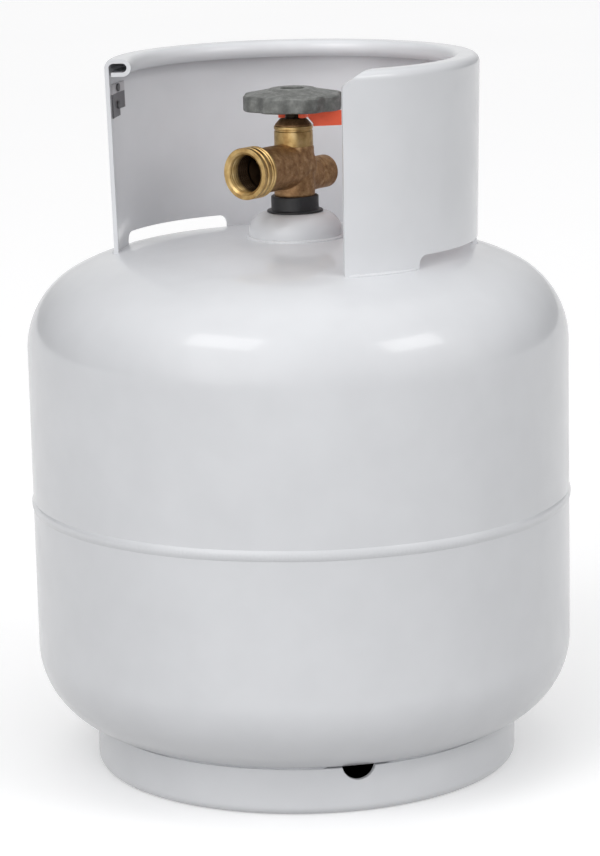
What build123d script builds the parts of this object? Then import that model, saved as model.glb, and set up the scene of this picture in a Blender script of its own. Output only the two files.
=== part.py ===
from build123d import *
import math
import os

# Refillable steel propane cylinder with a brass valve. Millimetres.
# +Z is up. The origin is the centre of the circle that the foot ring rests on.
# The valve outlet and the collar's opening face -Y.
# A bearing is measured from -Y towards +X, in degrees, seen from above.

# Vessel
BODY_R = 157.5
WALL = 2.4
LOWER_TANGENT_Z = 74.0              # where the bottom head springs from the straight wall
UPPER_TANGENT_Z = 249.0             # where the top head springs from the straight wall
TOP_HEAD_RADII = (49.5, 105.0, 680.0)   # knuckle, shoulder, crown
TOP_KNUCKLE_TURN = math.radians(62)     # turn of the knuckle before the shoulder starts
BOTTOM_HEAD_RADII = (48.0, 400.0)       # knuckle, crown

# Girth seam: the lower half's lip slides inside the upper half
SEAM_Z = 159.0
SEAM_GAP = 3.5                      # height of the groove that the weld fills
WELD_WIDTH = 6.4
WELD_PROUD = 0.9
LIP_TOP_Z = 174.0
LIP_CLEARANCE = 0.1

# Foot ring
FOOT_R = 124.3
FOOT_SHEET = 3.0
FOOT_CURL_R = 5.0
FOOT_LIP_R = 111.0                  # inner edge of the flange that rests on the ground
NOTCH_R = 9.8
NOTCH_Z = 29.4
NOTCH_BEARINGS = (50.5, 170.5, 290.5)
FOOT_ROOT_GAP = 1.0                 # open groove between the ring's edge and the bottom head
NOTCH_HALF_ANGLE = 8.0              # the weld beads stop this far from a notch's middle

# Collar
COLLAR_TOP_Z = 415.0
COLLAR_TOP_R = 107.5
COLLAR_FOOT_R = 105.3
COLLAR_FOOT_Z = 303.0
COLLAR_SHEET = 2.4
COLLAR_SEAT_GAP = 0.05              # root gap of the feet's welds
RIM_WIDTH = 15.2                    # across the rolled rim
RIM_BEND_R = 5.0                    # outer radius of the rim's bends
RIM_EDGE_R = 103.7                  # where the curled edge ends, short of the wall
OPENING_HALF = 51.6                 # half of the opening's angle
SLOT_BEARINGS = ((77.5, 130.0), (240.5, 290.0))
SLOT_TOP_Z = 310.0
SLOT_CORNER_R = 5.5
SLOT_REACH = 12.0                   # of the slot's cutter, each way from the wall
MITRE_Z = 406.6                     # where the slanted cut of the rim's end meets the wall's edge
MITRE_RISE = 1.25                   # how far the cut runs along the rim for each mm upwards
MITRE_INSET = 0.85                  # and for each mm towards the axis
MITRE_BLOCK = 60.0
COLLAR_BEAD_R = 1.7                 # section radii of the fillet weld beads
BOSS_BEAD_R = 2.0
FOOT_BEAD_R = 2.6
BEAD_OFFSET = 0.6                   # from the corner that a bead fills to its centre

# Identity tag inside the collar
TAG_BEARING = 295.5
TAG_SWEEP = 15.0
TAG_BOTTOM_Z, TAG_TOP_Z = 384.0, 399.3
TAB_BEARING = 298.0
TAB_SWEEP = 10.0
TAB_BOTTOM_Z = 380.0
TAG_SHEET = 1.0
RIVET_R = 1.5
RIVET_HEAD_R = 2.3
RIVET_HEAD_H = 0.9
RIVET_MARGIN = 2.6                  # rivet centre from the tag's upper or lower edge

# Neck boss
BOSS_R = 27.0
BOSS_SHOULDER_Z = 314.5
BOSS_TOP_Z = 325.0
BOSS_TOP_R = 17.4
BOSS_CROWN = (23.8, 321.4)          # middle point of the boss's rounded flank
SPIGOT_R = 18.9
SPIGOT_BOTTOM_Z = 302.0
NECK_BORE_R = 12.7

# Valve body
FIT_GAP = 0.05                      # radial clearance of screwed and turned fits
SHANK_BOTTOM_Z = 303.0
RING_TOP_Z = 334.5
RING_R = 13.75
RING_FLANGE_R = 16.2
RING_FLANGE_H = 1.2
RING_BORE_R = 11.35
RING_EDGE = 0.8
BARREL_R = 11.6
BARREL_TOP_Z = 363.0
TURRET_R = 11.2
TURRET_TOP_Z = 375.0
TURRET_EDGE = 0.7
OUTLET_Z = 352.0
OUTLET_FACE_Y = -47.0
OUTLET_R = 14.8
OUTLET_ROOT_R = 12.8
OUTLET_NOSE_Y = 34.0                # where the machined nose starts on the branch
OUTLET_EDGE = 0.5
BRANCH_OVERRUN = 9.0                # how far the branch runs on past the axis
OUTLET_RINGS = ((47.0, 44.4), (43.2, 40.4), (39.4, 38.2), (37.2, 36.0))   # from, to, along -Y
OUTLET_GROOVE_R = 13.8
POL_R = 11.24                       # wall radius of the outlet's internal thread
POL_DEPTH = 17.0
SEAT_CONE_R = 9.5
SEAT_CONE_DEPTH = 23.0
PORT_R = 3.5
INLET_R = 3.5
CHAMBER_R = 8.0
CHAMBER_FLOOR_Z = 348.5
NOZZLE_R = 5.5
NOZZLE_TOP_Z = 350.5
GUIDE_R = 7.0
GUIDE_BOTTOM_Z = 358.0
GLAND_CAVITY_R = 8.5
GLAND_CAVITY_Z = 370.2

# Shut-off spindle parts
CLOSED_GAP = 0.05                   # seat disc above the nozzle when shut
DISC_R = 5.6
DISC_H = 3.0
CARRIER_FOOT_R = 6.8
CARRIER_FOOT_Z = (351.5, 355.5)
CARRIER_NECK_R = 4.0
CARRIER_THREAD_Z = (358.5, 366.4)
TONGUE_SIDE = 4.4
TONGUE_TOP_Z = 371.4
SOCKET_SIDE = 4.6
SOCKET_TOP_Z = 376.2
SPINDLE_R = 4.5
SPINDLE_COLLAR_R = 7.5
SPINDLE_COLLAR_Z = (370.5, 372.4)
WASHER_Z = (372.45, 373.25)
SPINDLE_SHOULDER_Z = 384.5
DRIVE_SIDE = 6.4
DRIVE_TOP_Z = 390.8
STUB_R = 2.5
STUB_TOP_Z = 395.6

# Gland nut
GLAND_R = 10.5                      # foot of the nut's cone
GLAND_TOP_R = 7.8
GLAND_BOTTOM_Z = 373.3
GLAND_TOP_Z = 379.0
GLAND_EDGE = 0.5
ORING_Z = 376.6
ORING_SECTION_R = 0.86
ORING_GROOVE_H = 2.0

# Handwheel
WHEEL_R = 29.2
WHEEL_Z = (384.0, 393.0)
WHEEL_CROWN_Z = 396.4
WHEEL_CROWN_R = 12.5
WHEEL_SHOULDER = (15.0, 395.5)      # foot of the raised crown, as radius and height
WHEEL_EDGE_R = 1.3
LOBE_EDGE_R = 1.6
WHEEL_LOBES = 8
SCALLOP_R = 7.5
SCALLOP_CENTRE_R = 34.0
SCALLOP_BEARING = 33.7
SKIRT_INNER_R = 21.5
SKIRT_ROOF_Z = 389.5
HUB_R = 8.0
HUB_BOTTOM_Z = 384.6
RECESS_R = 7.0
RECESS_Z = 391.0
NUT_FLATS = 8.0
NUT_TOP_Z = 395.0
NUT_WASHER_H = 0.8

# Relief valve, on the axis opposite the outlet
RELIEF_Z = 345.0
RELIEF_BOSS_R = 9.75
RELIEF_BOSS_END_Y = 17.5
RELIEF_PORT_R = 2.5
RELIEF_BORE_R = 6.0
RELIEF_SEAT_Y = 8.5
RELIEF_THREAD_Y = 13.5
RELIEF_THREAD_R = 7.5
RELIEF_NOSE_Y = 31.0
RELIEF_NOSE_R = 9.5
RELIEF_EDGE = 1.3
RELIEF_WALL_Y = 25.5                # inside face of the cap's end wall
STEM_GUIDE = 4.0                    # how far the poppet's stem reaches into that wall
POPPET_R = 5.6
POPPET_H = 2.4
POPPET_STEM_R = 2.0
SEAL_H = 1.2
VENT_R = 1.0
VENT_CIRCLE_R = 3.7
VENT_COUNT = 4
SPRING_R = 4.1
SPRING_WIRE_R = 0.65
SPRING_TURNS = 5

# Bleed screw and dip tube, on the -X side
BLEED_Z = 345.0
BLEED_BOSS_R = 5.5
BLEED_BOSS_X = -16.0
BLEED_R = 2.0
BLEED_HEAD_R = 3.8
BLEED_HEAD_H = 4.0
BLEED_SLOT = 1.0
SEAL_GAP_H = 0.8
DIP_X = -8.0
DIP_R = 1.6
DIP_BORE_R = 0.9
DIP_BOTTOM_Z = 205.0

# Tether and outlet plug
TETHER_BEARING = 137.0
TETHER_R = 55.0                     # from the spindle's axis to the plug's axis
CLIP_R = (4.9, 8.6)
CLIP_Z = (379.4, 383.0)
CLIP_GAP_ANGLE = 110.0
CLIP_GAP_BEARING = 20.0
CLIP_ROOT = 1.6                     # overlap of the clip and the web's root
CLIP_ROOT_ANGLE = 30.0
STRAP_SHEET = 2.4
STRAP_Z = (373.8, 382.4)
STRAP_HEEL = ((8.2, 379.7), (11.0, 376.2), (11.7, 375.3), (11.7, 373.8))  # clears the gland nut
EYE_R = (6.2, 10.0)
EYE_Z = (374.5, 378.0)
PLUG_NECK_R = 5.8
PLUG_PLAY = 0.4                     # of the plug's button over the eye
PLUG_EDGE = 1.0
PLUG_BUTTON_R = 7.6
PLUG_SIDE_GAP = 0.6                 # from the plug's button to the strap's web
PLUG_BUTTON_TOP_Z = 381.0
PLUG_HEAD_R = 13.0
PLUG_HEAD_Z = (363.0, 373.4)
PLUG_FLUTES = 10                    # finger grooves round the plug's head
FLUTE_R = 2.2
PLUG_THREAD_R = 11.0
PLUG_THREAD_Z = 348.0
PLUG_NOSE_R = 8.4
PLUG_NOSE_Z = 341.0
PLUG_TIP_R = 4.5
PLUG_TIP_Z = 337.0
PLUG_ORING_Z = 343.2
PLUG_ORING_R = 7.9
PLUG_ORING_SECTION_R = 1.0


def at_bearing(radius, bearing, z=0.0):
    """Point at a distance from the axis on a bearing."""
    angle = math.radians(bearing)
    return (radius * math.sin(angle), -radius * math.cos(angle), z)


def spin(edges, sweep=360.0, from_bearing=90.0):
    """Turn a closed outline, drawn as radius and height, about the cylinder's axis."""
    face = Plane.XZ * make_face(edges)
    turned = revolve(face, Axis.Z, sweep)
    return Rot(0, 0, from_bearing - 90.0) * turned


def ring(inner, outer, z_low, z_high, sweep=360.0, from_bearing=90.0):
    """Flat-sided ring, or a stretch of one."""
    outline = Polyline((inner, z_low), (outer, z_low), (outer, z_high), (inner, z_high), close=True)
    return spin(outline, sweep, from_bearing)


def rod(radius, z_low, z_high, x=0.0, y=0.0):
    """Upright cylinder between two heights."""
    return Pos(x, y, (z_low + z_high) / 2) * Cylinder(radius, z_high - z_low)


def along(radius, start, end, direction, z):
    """Level cylinder at a height, from start to end along a horizontal unit direction."""
    plane = Plane(origin=(direction[0] * start, direction[1] * start, z), z_dir=(*direction, 0))
    return extrude(plane * Circle(radius), end - start)


def turned_along(points, direction, z):
    """Solid of revolution about a level axis; points are (distance along it, radius)."""
    outline = [(0.0, points[0][0])] + [(r, d) for d, r in points] + [(0.0, points[-1][0])]
    solid = revolve(Plane.XZ * make_face(Polyline(*outline, close=True)), Axis.Z)
    plane = Plane(origin=(0, 0, z), z_dir=(*direction, 0))
    return plane * solid


def bar(side, z_low, z_high):
    """Upright square bar on the axis."""
    return Pos(0, 0, (z_low + z_high) / 2) * Box(side, side, z_high - z_low)


# ---------------------------------------------------------------- vessel

def head_arcs(radii, first_turn=None):
    """Arcs of a dished head as (centre radius, centre height, arc radius, start, end).

    Heights count from the plane where the head springs from the wall. Each arc is tangent
    to the one before, and the last one's centre is on the axis.
    """
    arcs = []
    centre_r, centre_z, start = BODY_R - radii[0], 0.0, 0.0
    for index, radius in enumerate(radii):
        if index == len(radii) - 1:
            arcs.append((centre_r, centre_z, radius, start, math.pi / 2))
            return arcs
        step = radii[index + 1] - radius
        last_joint = index == len(radii) - 2
        end = math.acos(centre_r / step) if last_joint else first_turn
        arcs.append((centre_r, centre_z, radius, start, end))
        centre_r -= step * math.cos(end)
        centre_z -= step * math.sin(end)
        start = end


TOP_ARCS = head_arcs(TOP_HEAD_RADII, TOP_KNUCKLE_TURN)
BOTTOM_ARCS = head_arcs(BOTTOM_HEAD_RADII)


def head_height(arcs, radius):
    """Height of a head's outer surface above its tangent plane, at a radius."""
    for centre_r, centre_z, arc_r, start, end in arcs:
        if radius >= centre_r + arc_r * math.cos(end) - 1e-6:
            return centre_z + math.sqrt(arc_r ** 2 - (radius - centre_r) ** 2)


def dome_z(radius):
    """Height of the top head's outer surface at a radius."""
    return UPPER_TANGENT_Z + head_height(TOP_ARCS, radius)


def head_edges(arcs, inset, tangent_z, side):
    """Edges of a head's curve, moved inwards by inset; side is 1 upwards, -1 downwards."""
    edges = []
    for centre_r, centre_z, radius, start, end in arcs:
        centre = (centre_r, tangent_z + side * centre_z)
        turn = side * math.degrees(end - start)
        edges.append(CenterArc(centre, radius - inset, side * math.degrees(start), turn))
    return edges


def vessel(inset):
    """Closed vessel's shape as one solid, inset from the outer surface."""
    top_pole = dome_z(0.0) - inset
    bottom_pole = LOWER_TANGENT_Z - head_height(BOTTOM_ARCS, 0.0) + inset
    wall_r = BODY_R - inset
    edges = [Line((wall_r, LOWER_TANGENT_Z), (wall_r, UPPER_TANGENT_Z))]
    edges += head_edges(TOP_ARCS, inset, UPPER_TANGENT_Z, 1)
    edges += [Line((0, top_pole), (0, bottom_pole))]
    edges += head_edges(BOTTOM_ARCS, inset, LOWER_TANGENT_Z, -1)
    return spin(edges)


OUTER = vessel(0.0)
SHELL = OUTER - vessel(WALL)
GROOVE_BOTTOM_Z = SEAM_Z - SEAM_GAP / 2
GROOVE_TOP_Z = SEAM_Z + SEAM_GAP / 2
LIP_R = BODY_R - WALL - LIP_CLEARANCE


def upper_shell():
    """Top half, with the hole that the neck boss sits in."""
    above = ring(0, BODY_R + 10, GROOVE_TOP_Z, COLLAR_TOP_Z)
    hole = rod(SPIGOT_R + LIP_CLEARANCE, SPIGOT_BOTTOM_Z - 20, COLLAR_TOP_Z)
    return (SHELL & above) - hole


def lower_shell():
    """Bottom half, joggled inwards at its top edge so that it slides inside the top half."""
    below = ring(0, BODY_R + 10, -10, GROOVE_BOTTOM_Z)
    lip = Polyline(
        (BODY_R, GROOVE_BOTTOM_Z), (LIP_R, GROOVE_TOP_Z), (LIP_R, LIP_TOP_Z),
        (LIP_R - WALL, LIP_TOP_Z), (LIP_R - WALL, GROOVE_TOP_Z), (BODY_R - WALL, GROOVE_BOTTOM_Z),
        close=True)
    return (SHELL & below) + spin(lip)


def girth_weld():
    """Bead that fills the groove and stands a little proud of the wall."""
    low, high = SEAM_Z - WELD_WIDTH / 2, SEAM_Z + WELD_WIDTH / 2
    cap = ThreePointArc((BODY_R, low), (BODY_R + WELD_PROUD, SEAM_Z), (BODY_R, high))
    root = Polyline(
        (BODY_R, high), (BODY_R, GROOVE_TOP_Z), (LIP_R, GROOVE_TOP_Z),
        (BODY_R, GROOVE_BOTTOM_Z), (BODY_R, low))
    return spin([cap, root])


def bead(section_r, radius, z, sweep=360.0, from_bearing=90.0):
    """Round weld bead about the axis, before it is cut to the parts that it joins."""
    section = Plane.XZ * Pos(radius, z) * Circle(section_r)
    return Rot(0, 0, from_bearing - 90.0) * revolve(section, Axis.Z, sweep)


# ---------------------------------------------------------------- foot ring

def foot_ring():
    """Rolled ring with its lower edge curled inwards, cut to the bottom head."""
    inner_r = FOOT_R - FOOT_SHEET
    bend_r = FOOT_R - FOOT_CURL_R
    top_z = LOWER_TANGENT_Z / 2
    bend = (bend_r, FOOT_CURL_R)
    edges = [
        Line((FOOT_R, top_z), (FOOT_R, FOOT_CURL_R)),
        CenterArc(bend, FOOT_CURL_R, 0, -90),
        Polyline((bend_r, 0), (FOOT_LIP_R, 0), (FOOT_LIP_R, FOOT_SHEET), (bend_r, FOOT_SHEET)),
        CenterArc(bend, FOOT_CURL_R - FOOT_SHEET, -90, 90),
        Polyline((inner_r, FOOT_CURL_R), (inner_r, top_z), (FOOT_R, top_z)),
    ]
    body = spin(edges) - vessel(-FOOT_ROOT_GAP)
    for bearing in NOTCH_BEARINGS:
        x, y, _ = at_bearing(1.0, bearing)
        body -= along(NOTCH_R, FOOT_LIP_R, FOOT_R + 5, (x, y), NOTCH_Z)
    return body


def foot_ring_welds(foot):
    """Bead inside the foot ring, against the bottom head, stopped at each notch."""
    radius = FOOT_R - FOOT_SHEET
    joint_z = LOWER_TANGENT_Z - head_height(BOTTOM_ARCS, radius)
    sweep = 360.0 / len(NOTCH_BEARINGS) - 2 * NOTCH_HALF_ANGLE
    beads = [
        bead(FOOT_BEAD_R, radius, joint_z - FOOT_ROOT_GAP, sweep, bearing + NOTCH_HALF_ANGLE) - OUTER - foot
        for bearing in NOTCH_BEARINGS
    ]
    return Compound(children=[largest(piece) for piece in beads])


def largest(shape):
    """Biggest solid of a shape, which drops crumbs left by a cut."""
    return max(shape.solids(), key=lambda solid: solid.volume)


# ---------------------------------------------------------------- collar

RIM_Z = COLLAR_TOP_Z - RIM_BEND_R   # height of the rim's bend centres
RIM_OUTER_BEND = (COLLAR_TOP_R - RIM_BEND_R, RIM_Z)
RIM_INNER_BEND = (COLLAR_TOP_R - RIM_WIDTH + RIM_BEND_R, RIM_Z)


def collar_wall_r(z):
    """Outer radius of the collar's tapered wall at a height."""
    slope = (COLLAR_TOP_R - COLLAR_FOOT_R) / (RIM_Z - COLLAR_FOOT_Z)
    return COLLAR_FOOT_R + slope * (z - COLLAR_FOOT_Z)


def collar():
    """C-shaped guard: tapered wall, rim rolled inwards, feet on the dome, drain slots between them."""
    low = COLLAR_FOOT_Z - 8
    bend_in = RIM_BEND_R - COLLAR_SHEET
    edges = [
        Line((collar_wall_r(low), low), (COLLAR_TOP_R, RIM_Z)),
        CenterArc(RIM_OUTER_BEND, RIM_BEND_R, 0, 90),
        Line((RIM_OUTER_BEND[0], COLLAR_TOP_Z), (RIM_INNER_BEND[0], COLLAR_TOP_Z)),
        CenterArc(RIM_INNER_BEND, RIM_BEND_R, 90, 180),
        Polyline(
            (RIM_INNER_BEND[0], RIM_Z - RIM_BEND_R), (RIM_EDGE_R, RIM_Z - RIM_BEND_R),
            (RIM_EDGE_R, RIM_Z - bend_in), (RIM_INNER_BEND[0], RIM_Z - bend_in)),
        CenterArc(RIM_INNER_BEND, bend_in, 270, -180),
        Line((RIM_INNER_BEND[0], RIM_Z + bend_in), (RIM_OUTER_BEND[0], RIM_Z + bend_in)),
        CenterArc(RIM_OUTER_BEND, bend_in, 90, -90),
        Polyline(
            (COLLAR_TOP_R - COLLAR_SHEET, RIM_Z), (collar_wall_r(low) - COLLAR_SHEET, low),
            (collar_wall_r(low), low)),
    ]
    body = spin(edges, 360 - 2 * OPENING_HALF, OPENING_HALF) - vessel(-COLLAR_SEAT_GAP)
    for start, end in SLOT_BEARINGS:
        inner, outer = COLLAR_FOOT_R - SLOT_REACH, COLLAR_FOOT_R + SLOT_REACH
        slot = ring(inner, outer, COLLAR_FOOT_Z - SLOT_REACH, SLOT_TOP_Z, end - start, start)
        corners = slot.edges().filter_by(GeomType.LINE).group_by(Axis.Z)[-1]
        body -= fillet(corners, SLOT_CORNER_R)
    return largest(body - mitre())


def mitre():
    """Block whose slanted face trims the rim at the collar's right end."""
    angle = math.radians(OPENING_HALF)
    away = (
        -math.cos(angle) - MITRE_INSET * math.sin(angle),
        -math.sin(angle) + MITRE_INSET * math.cos(angle),
        MITRE_RISE)
    plane = Plane(origin=at_bearing(COLLAR_TOP_R, OPENING_HALF, MITRE_Z), z_dir=away)
    return extrude(plane * Rectangle(MITRE_BLOCK, MITRE_BLOCK), MITRE_BLOCK / 2)


def collar_welds(guard):
    """Beads along the outside of the collar's three feet."""
    feet = [
        (OPENING_HALF, SLOT_BEARINGS[0][0]),
        (SLOT_BEARINGS[0][1], SLOT_BEARINGS[1][0]),
        (SLOT_BEARINGS[1][1], 360 - OPENING_HALF),
    ]
    radius = COLLAR_FOOT_R + BEAD_OFFSET
    margin = 1.0
    beads = [
        bead(COLLAR_BEAD_R, radius, dome_z(radius), end - start - 2 * margin, start + margin) - OUTER - guard
        for start, end in feet
    ]
    return Compound(children=[largest(piece) for piece in beads])


def tag_band(low, high, bearing, sweep):
    """Curved plate on the collar's inner wall."""
    edges = Polyline(
        *[
            (collar_wall_r(z) - COLLAR_SHEET - depth, z)
            for depth, z in ((0, low), (TAG_SHEET, low), (TAG_SHEET, high), (0, high))
        ],
        close=True)
    return spin(edges, sweep, bearing - sweep / 2)


def id_tag():
    """Blank identity plate with a small tab below."""
    plate = tag_band(TAG_BOTTOM_Z, TAG_TOP_Z, TAG_BEARING, TAG_SWEEP)
    return plate + tag_band(TAB_BOTTOM_Z, TAG_BOTTOM_Z + 1, TAB_BEARING, TAB_SWEEP)


def rivet_pair(radius, start, end):
    """Two radial cylinders at the tag's rivets."""
    x, y, _ = at_bearing(1.0, TAG_BEARING)
    heights = (TAG_BOTTOM_Z + RIVET_MARGIN, TAG_TOP_Z - RIVET_MARGIN)
    return [along(radius, start, end, (x, y), z) for z in heights]


def tag_rivets():
    """Two rivets through the tag and the collar's wall, headed on both sides."""
    wall_out = collar_wall_r(TAG_TOP_Z)
    wall_in = collar_wall_r(TAG_BOTTOM_Z) - COLLAR_SHEET - TAG_SHEET
    shanks = rivet_pair(RIVET_R, wall_in - RIVET_HEAD_H, wall_out + RIVET_HEAD_H)
    inner = rivet_pair(RIVET_HEAD_R, wall_in - RIVET_HEAD_H - 0.1, wall_in - 0.1)
    outer = rivet_pair(RIVET_HEAD_R, wall_out + 0.1, wall_out + 0.1 + RIVET_HEAD_H)
    solids = [shank + head + tail for shank, head, tail in zip(shanks, inner, outer)]
    return Compound(children=[largest(solid) for solid in solids])


# ---------------------------------------------------------------- neck

def neck_boss():
    """Forged boss: a rounded flange that follows the dome, and a spigot through the shell."""
    edges = [
        Polyline((0, BOSS_TOP_Z), (0, COLLAR_FOOT_Z), (BOSS_R, COLLAR_FOOT_Z), (BOSS_R, BOSS_SHOULDER_Z)),
        ThreePointArc((BOSS_R, BOSS_SHOULDER_Z), BOSS_CROWN, (BOSS_TOP_R, BOSS_TOP_Z)),
        Line((BOSS_TOP_R, BOSS_TOP_Z), (0, BOSS_TOP_Z)),
    ]
    spigot = rod(SPIGOT_R, SPIGOT_BOTTOM_Z, BOSS_SHOULDER_Z - 2)
    return (spin(edges) - OUTER) + spigot - rod(NECK_BORE_R, SPIGOT_BOTTOM_Z - 5, BOSS_TOP_Z + 5)


def boss_weld(boss):
    """Bead round the boss's flange."""
    radius = BOSS_R + BEAD_OFFSET
    return largest(bead(BOSS_BEAD_R, radius, dome_z(radius)) - OUTER - boss)


def neck_seal_ring():
    """Dark ring between the boss and the valve's shoulder, with a thin flange at its foot."""
    body = ring(RING_BORE_R, RING_R, BOSS_TOP_Z, RING_TOP_Z)
    body = chamfer(body.edges().group_by(Axis.Z)[-1].sort_by(SortBy.RADIUS)[-1], RING_EDGE)
    return body + ring(RING_BORE_R, RING_FLANGE_R, BOSS_TOP_Z, BOSS_TOP_Z + RING_FLANGE_H)


# ---------------------------------------------------------------- valve body

MINUS_Y = (0, -1)
PLUS_Y = (0, 1)
MINUS_X = (-1, 0)


def valve_outside():
    """Forging's outer shape: shank, barrel, turret, ringed outlet, relief and bleed bosses."""
    shank = rod(NECK_BORE_R - FIT_GAP, SHANK_BOTTOM_Z, BOSS_TOP_Z)
    waist = rod(RING_BORE_R - FIT_GAP, BOSS_TOP_Z, RING_TOP_Z)
    barrel = rod(BARREL_R, RING_TOP_Z, BARREL_TOP_Z)
    turret = rod(TURRET_R, OUTLET_Z, TURRET_TOP_Z)
    turret = chamfer(turret.edges().group_by(Axis.Z)[-1], TURRET_EDGE)
    branch = along(OUTLET_ROOT_R, -BRANCH_OVERRUN, OUTLET_NOSE_Y + 1, MINUS_Y, OUTLET_Z)
    nose = along(OUTLET_GROOVE_R, OUTLET_NOSE_Y, -OUTLET_FACE_Y - RING_EDGE, MINUS_Y, OUTLET_Z)
    relief = along(RELIEF_BOSS_R, 3, RELIEF_BOSS_END_Y, PLUS_Y, RELIEF_Z)
    bleed = along(BLEED_BOSS_R, 5, -BLEED_BOSS_X, MINUS_X, BLEED_Z)
    body = shank + waist + barrel + turret + branch + nose + relief + bleed
    for far, near in OUTLET_RINGS:
        edge = min(OUTLET_EDGE, (far - near) / 3)
        root = OUTLET_R - edge
        profile = ((near, root), (near + edge, OUTLET_R), (far - edge, OUTLET_R), (far, root))
        body += turned_along(profile, MINUS_Y, OUTLET_Z)
    return body


def valve_body():
    """Brass forging with its bores."""
    outlet_depth = -OUTLET_FACE_Y
    outlet = turned_along(
        ((outlet_depth + 1, POL_R), (outlet_depth - POL_DEPTH, POL_R),
         (outlet_depth - POL_DEPTH, SEAT_CONE_R), (outlet_depth - SEAT_CONE_DEPTH, PORT_R), (0, PORT_R)),
        MINUS_Y, OUTLET_Z)
    chamber = rod(CHAMBER_R, CHAMBER_FLOOR_Z, GUIDE_BOTTOM_Z)
    nozzle = rod(NOZZLE_R, CHAMBER_FLOOR_Z, NOZZLE_TOP_Z)
    guide = rod(GUIDE_R, GUIDE_BOTTOM_Z - 1, GLAND_CAVITY_Z + 1)
    cavity = rod(GLAND_CAVITY_R, GLAND_CAVITY_Z, TURRET_TOP_Z + 1)
    inlet = rod(INLET_R, SHANK_BOTTOM_Z - 1, NOZZLE_TOP_Z + 1)
    relief_port = along(RELIEF_PORT_R, 0, RELIEF_SEAT_Y + 1, PLUS_Y, RELIEF_Z)
    relief_bore = along(RELIEF_BORE_R, RELIEF_SEAT_Y, RELIEF_BOSS_END_Y + 1, PLUS_Y, RELIEF_Z)
    relief_thread = along(RELIEF_THREAD_R, RELIEF_THREAD_Y, RELIEF_BOSS_END_Y + 1, PLUS_Y, RELIEF_Z)
    bleed_bore = along(BLEED_R + FIT_GAP, -DIP_X - DIP_BORE_R, -BLEED_BOSS_X + 1, MINUS_X, BLEED_Z)
    dip_bore = rod(DIP_R, SHANK_BOTTOM_Z - 1, SHANK_BOTTOM_Z + 12, DIP_X)
    dip_riser = rod(DIP_BORE_R, SHANK_BOTTOM_Z, BLEED_Z, DIP_X)
    body = valve_outside() - (outlet - nozzle) - (chamber - nozzle) - guide - cavity
    return body - inlet - relief_port - relief_bore - relief_thread - bleed_bore - dip_bore - dip_riser


# ---------------------------------------------------------------- shut-off parts

def gland_nut():
    """Nut that closes the turret: screwed neck, conical head, seal groove."""
    neck = rod(GLAND_CAVITY_R - FIT_GAP, GLAND_BOTTOM_Z, TURRET_TOP_Z)
    flange = spin(Polyline(
        (0, TURRET_TOP_Z), (GLAND_R, TURRET_TOP_Z), (GLAND_R, TURRET_TOP_Z + GLAND_EDGE),
        (GLAND_TOP_R, GLAND_TOP_Z - GLAND_EDGE), (GLAND_TOP_R - GLAND_EDGE, GLAND_TOP_Z), (0, GLAND_TOP_Z),
        close=True))
    bore = rod(SPINDLE_R + FIT_GAP, GLAND_BOTTOM_Z - 1, GLAND_TOP_Z + 1)
    groove_r = SPINDLE_R + FIT_GAP + 2 * ORING_SECTION_R + 0.05
    groove = rod(groove_r, ORING_Z - ORING_GROOVE_H / 2, ORING_Z + ORING_GROOVE_H / 2)
    return neck + flange - bore - groove


def stem_o_ring():
    """Seal ring between the gland nut and the spindle."""
    return Pos(0, 0, ORING_Z) * Torus(SPINDLE_R + FIT_GAP + ORING_SECTION_R, ORING_SECTION_R)


def spindle_washer():
    """Low-friction washer between the spindle's collar and the gland nut."""
    return ring(SPINDLE_R + FIT_GAP, SPINDLE_COLLAR_R, *WASHER_Z)


def upper_spindle():
    """Spindle with a thrust collar, a square drive for the wheel and a square socket below."""
    collar_z, shoulder_z = SPINDLE_COLLAR_Z
    body = rod(SPINDLE_COLLAR_R, collar_z, shoulder_z) + rod(SPINDLE_R, shoulder_z, SPINDLE_SHOULDER_Z)
    body += bar(DRIVE_SIDE, SPINDLE_SHOULDER_Z, DRIVE_TOP_Z)
    body += rod(STUB_R, DRIVE_TOP_Z, STUB_TOP_Z)
    return body - bar(SOCKET_SIDE, collar_z - 1, SOCKET_TOP_Z)


def lower_spindle():
    """Seat carrier: foot with a pocket for the disc, neck, screwed part and square tongue."""
    foot_low, foot_high = CARRIER_FOOT_Z
    thread_low, thread_high = CARRIER_THREAD_Z
    body = rod(CARRIER_FOOT_R, foot_low, foot_high) + rod(CARRIER_NECK_R, foot_high, thread_low)
    body += rod(GUIDE_R - FIT_GAP, thread_low, thread_high) + bar(TONGUE_SIDE, thread_high, TONGUE_TOP_Z)
    pocket_top = NOZZLE_TOP_Z + CLOSED_GAP + DISC_H
    return body - rod(DISC_R, foot_low - 1, pocket_top)


def seat_disc():
    """Soft disc that closes on the nozzle."""
    bottom = NOZZLE_TOP_Z + CLOSED_GAP
    return rod(DISC_R - 0.02, bottom, bottom + DISC_H)


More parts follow.
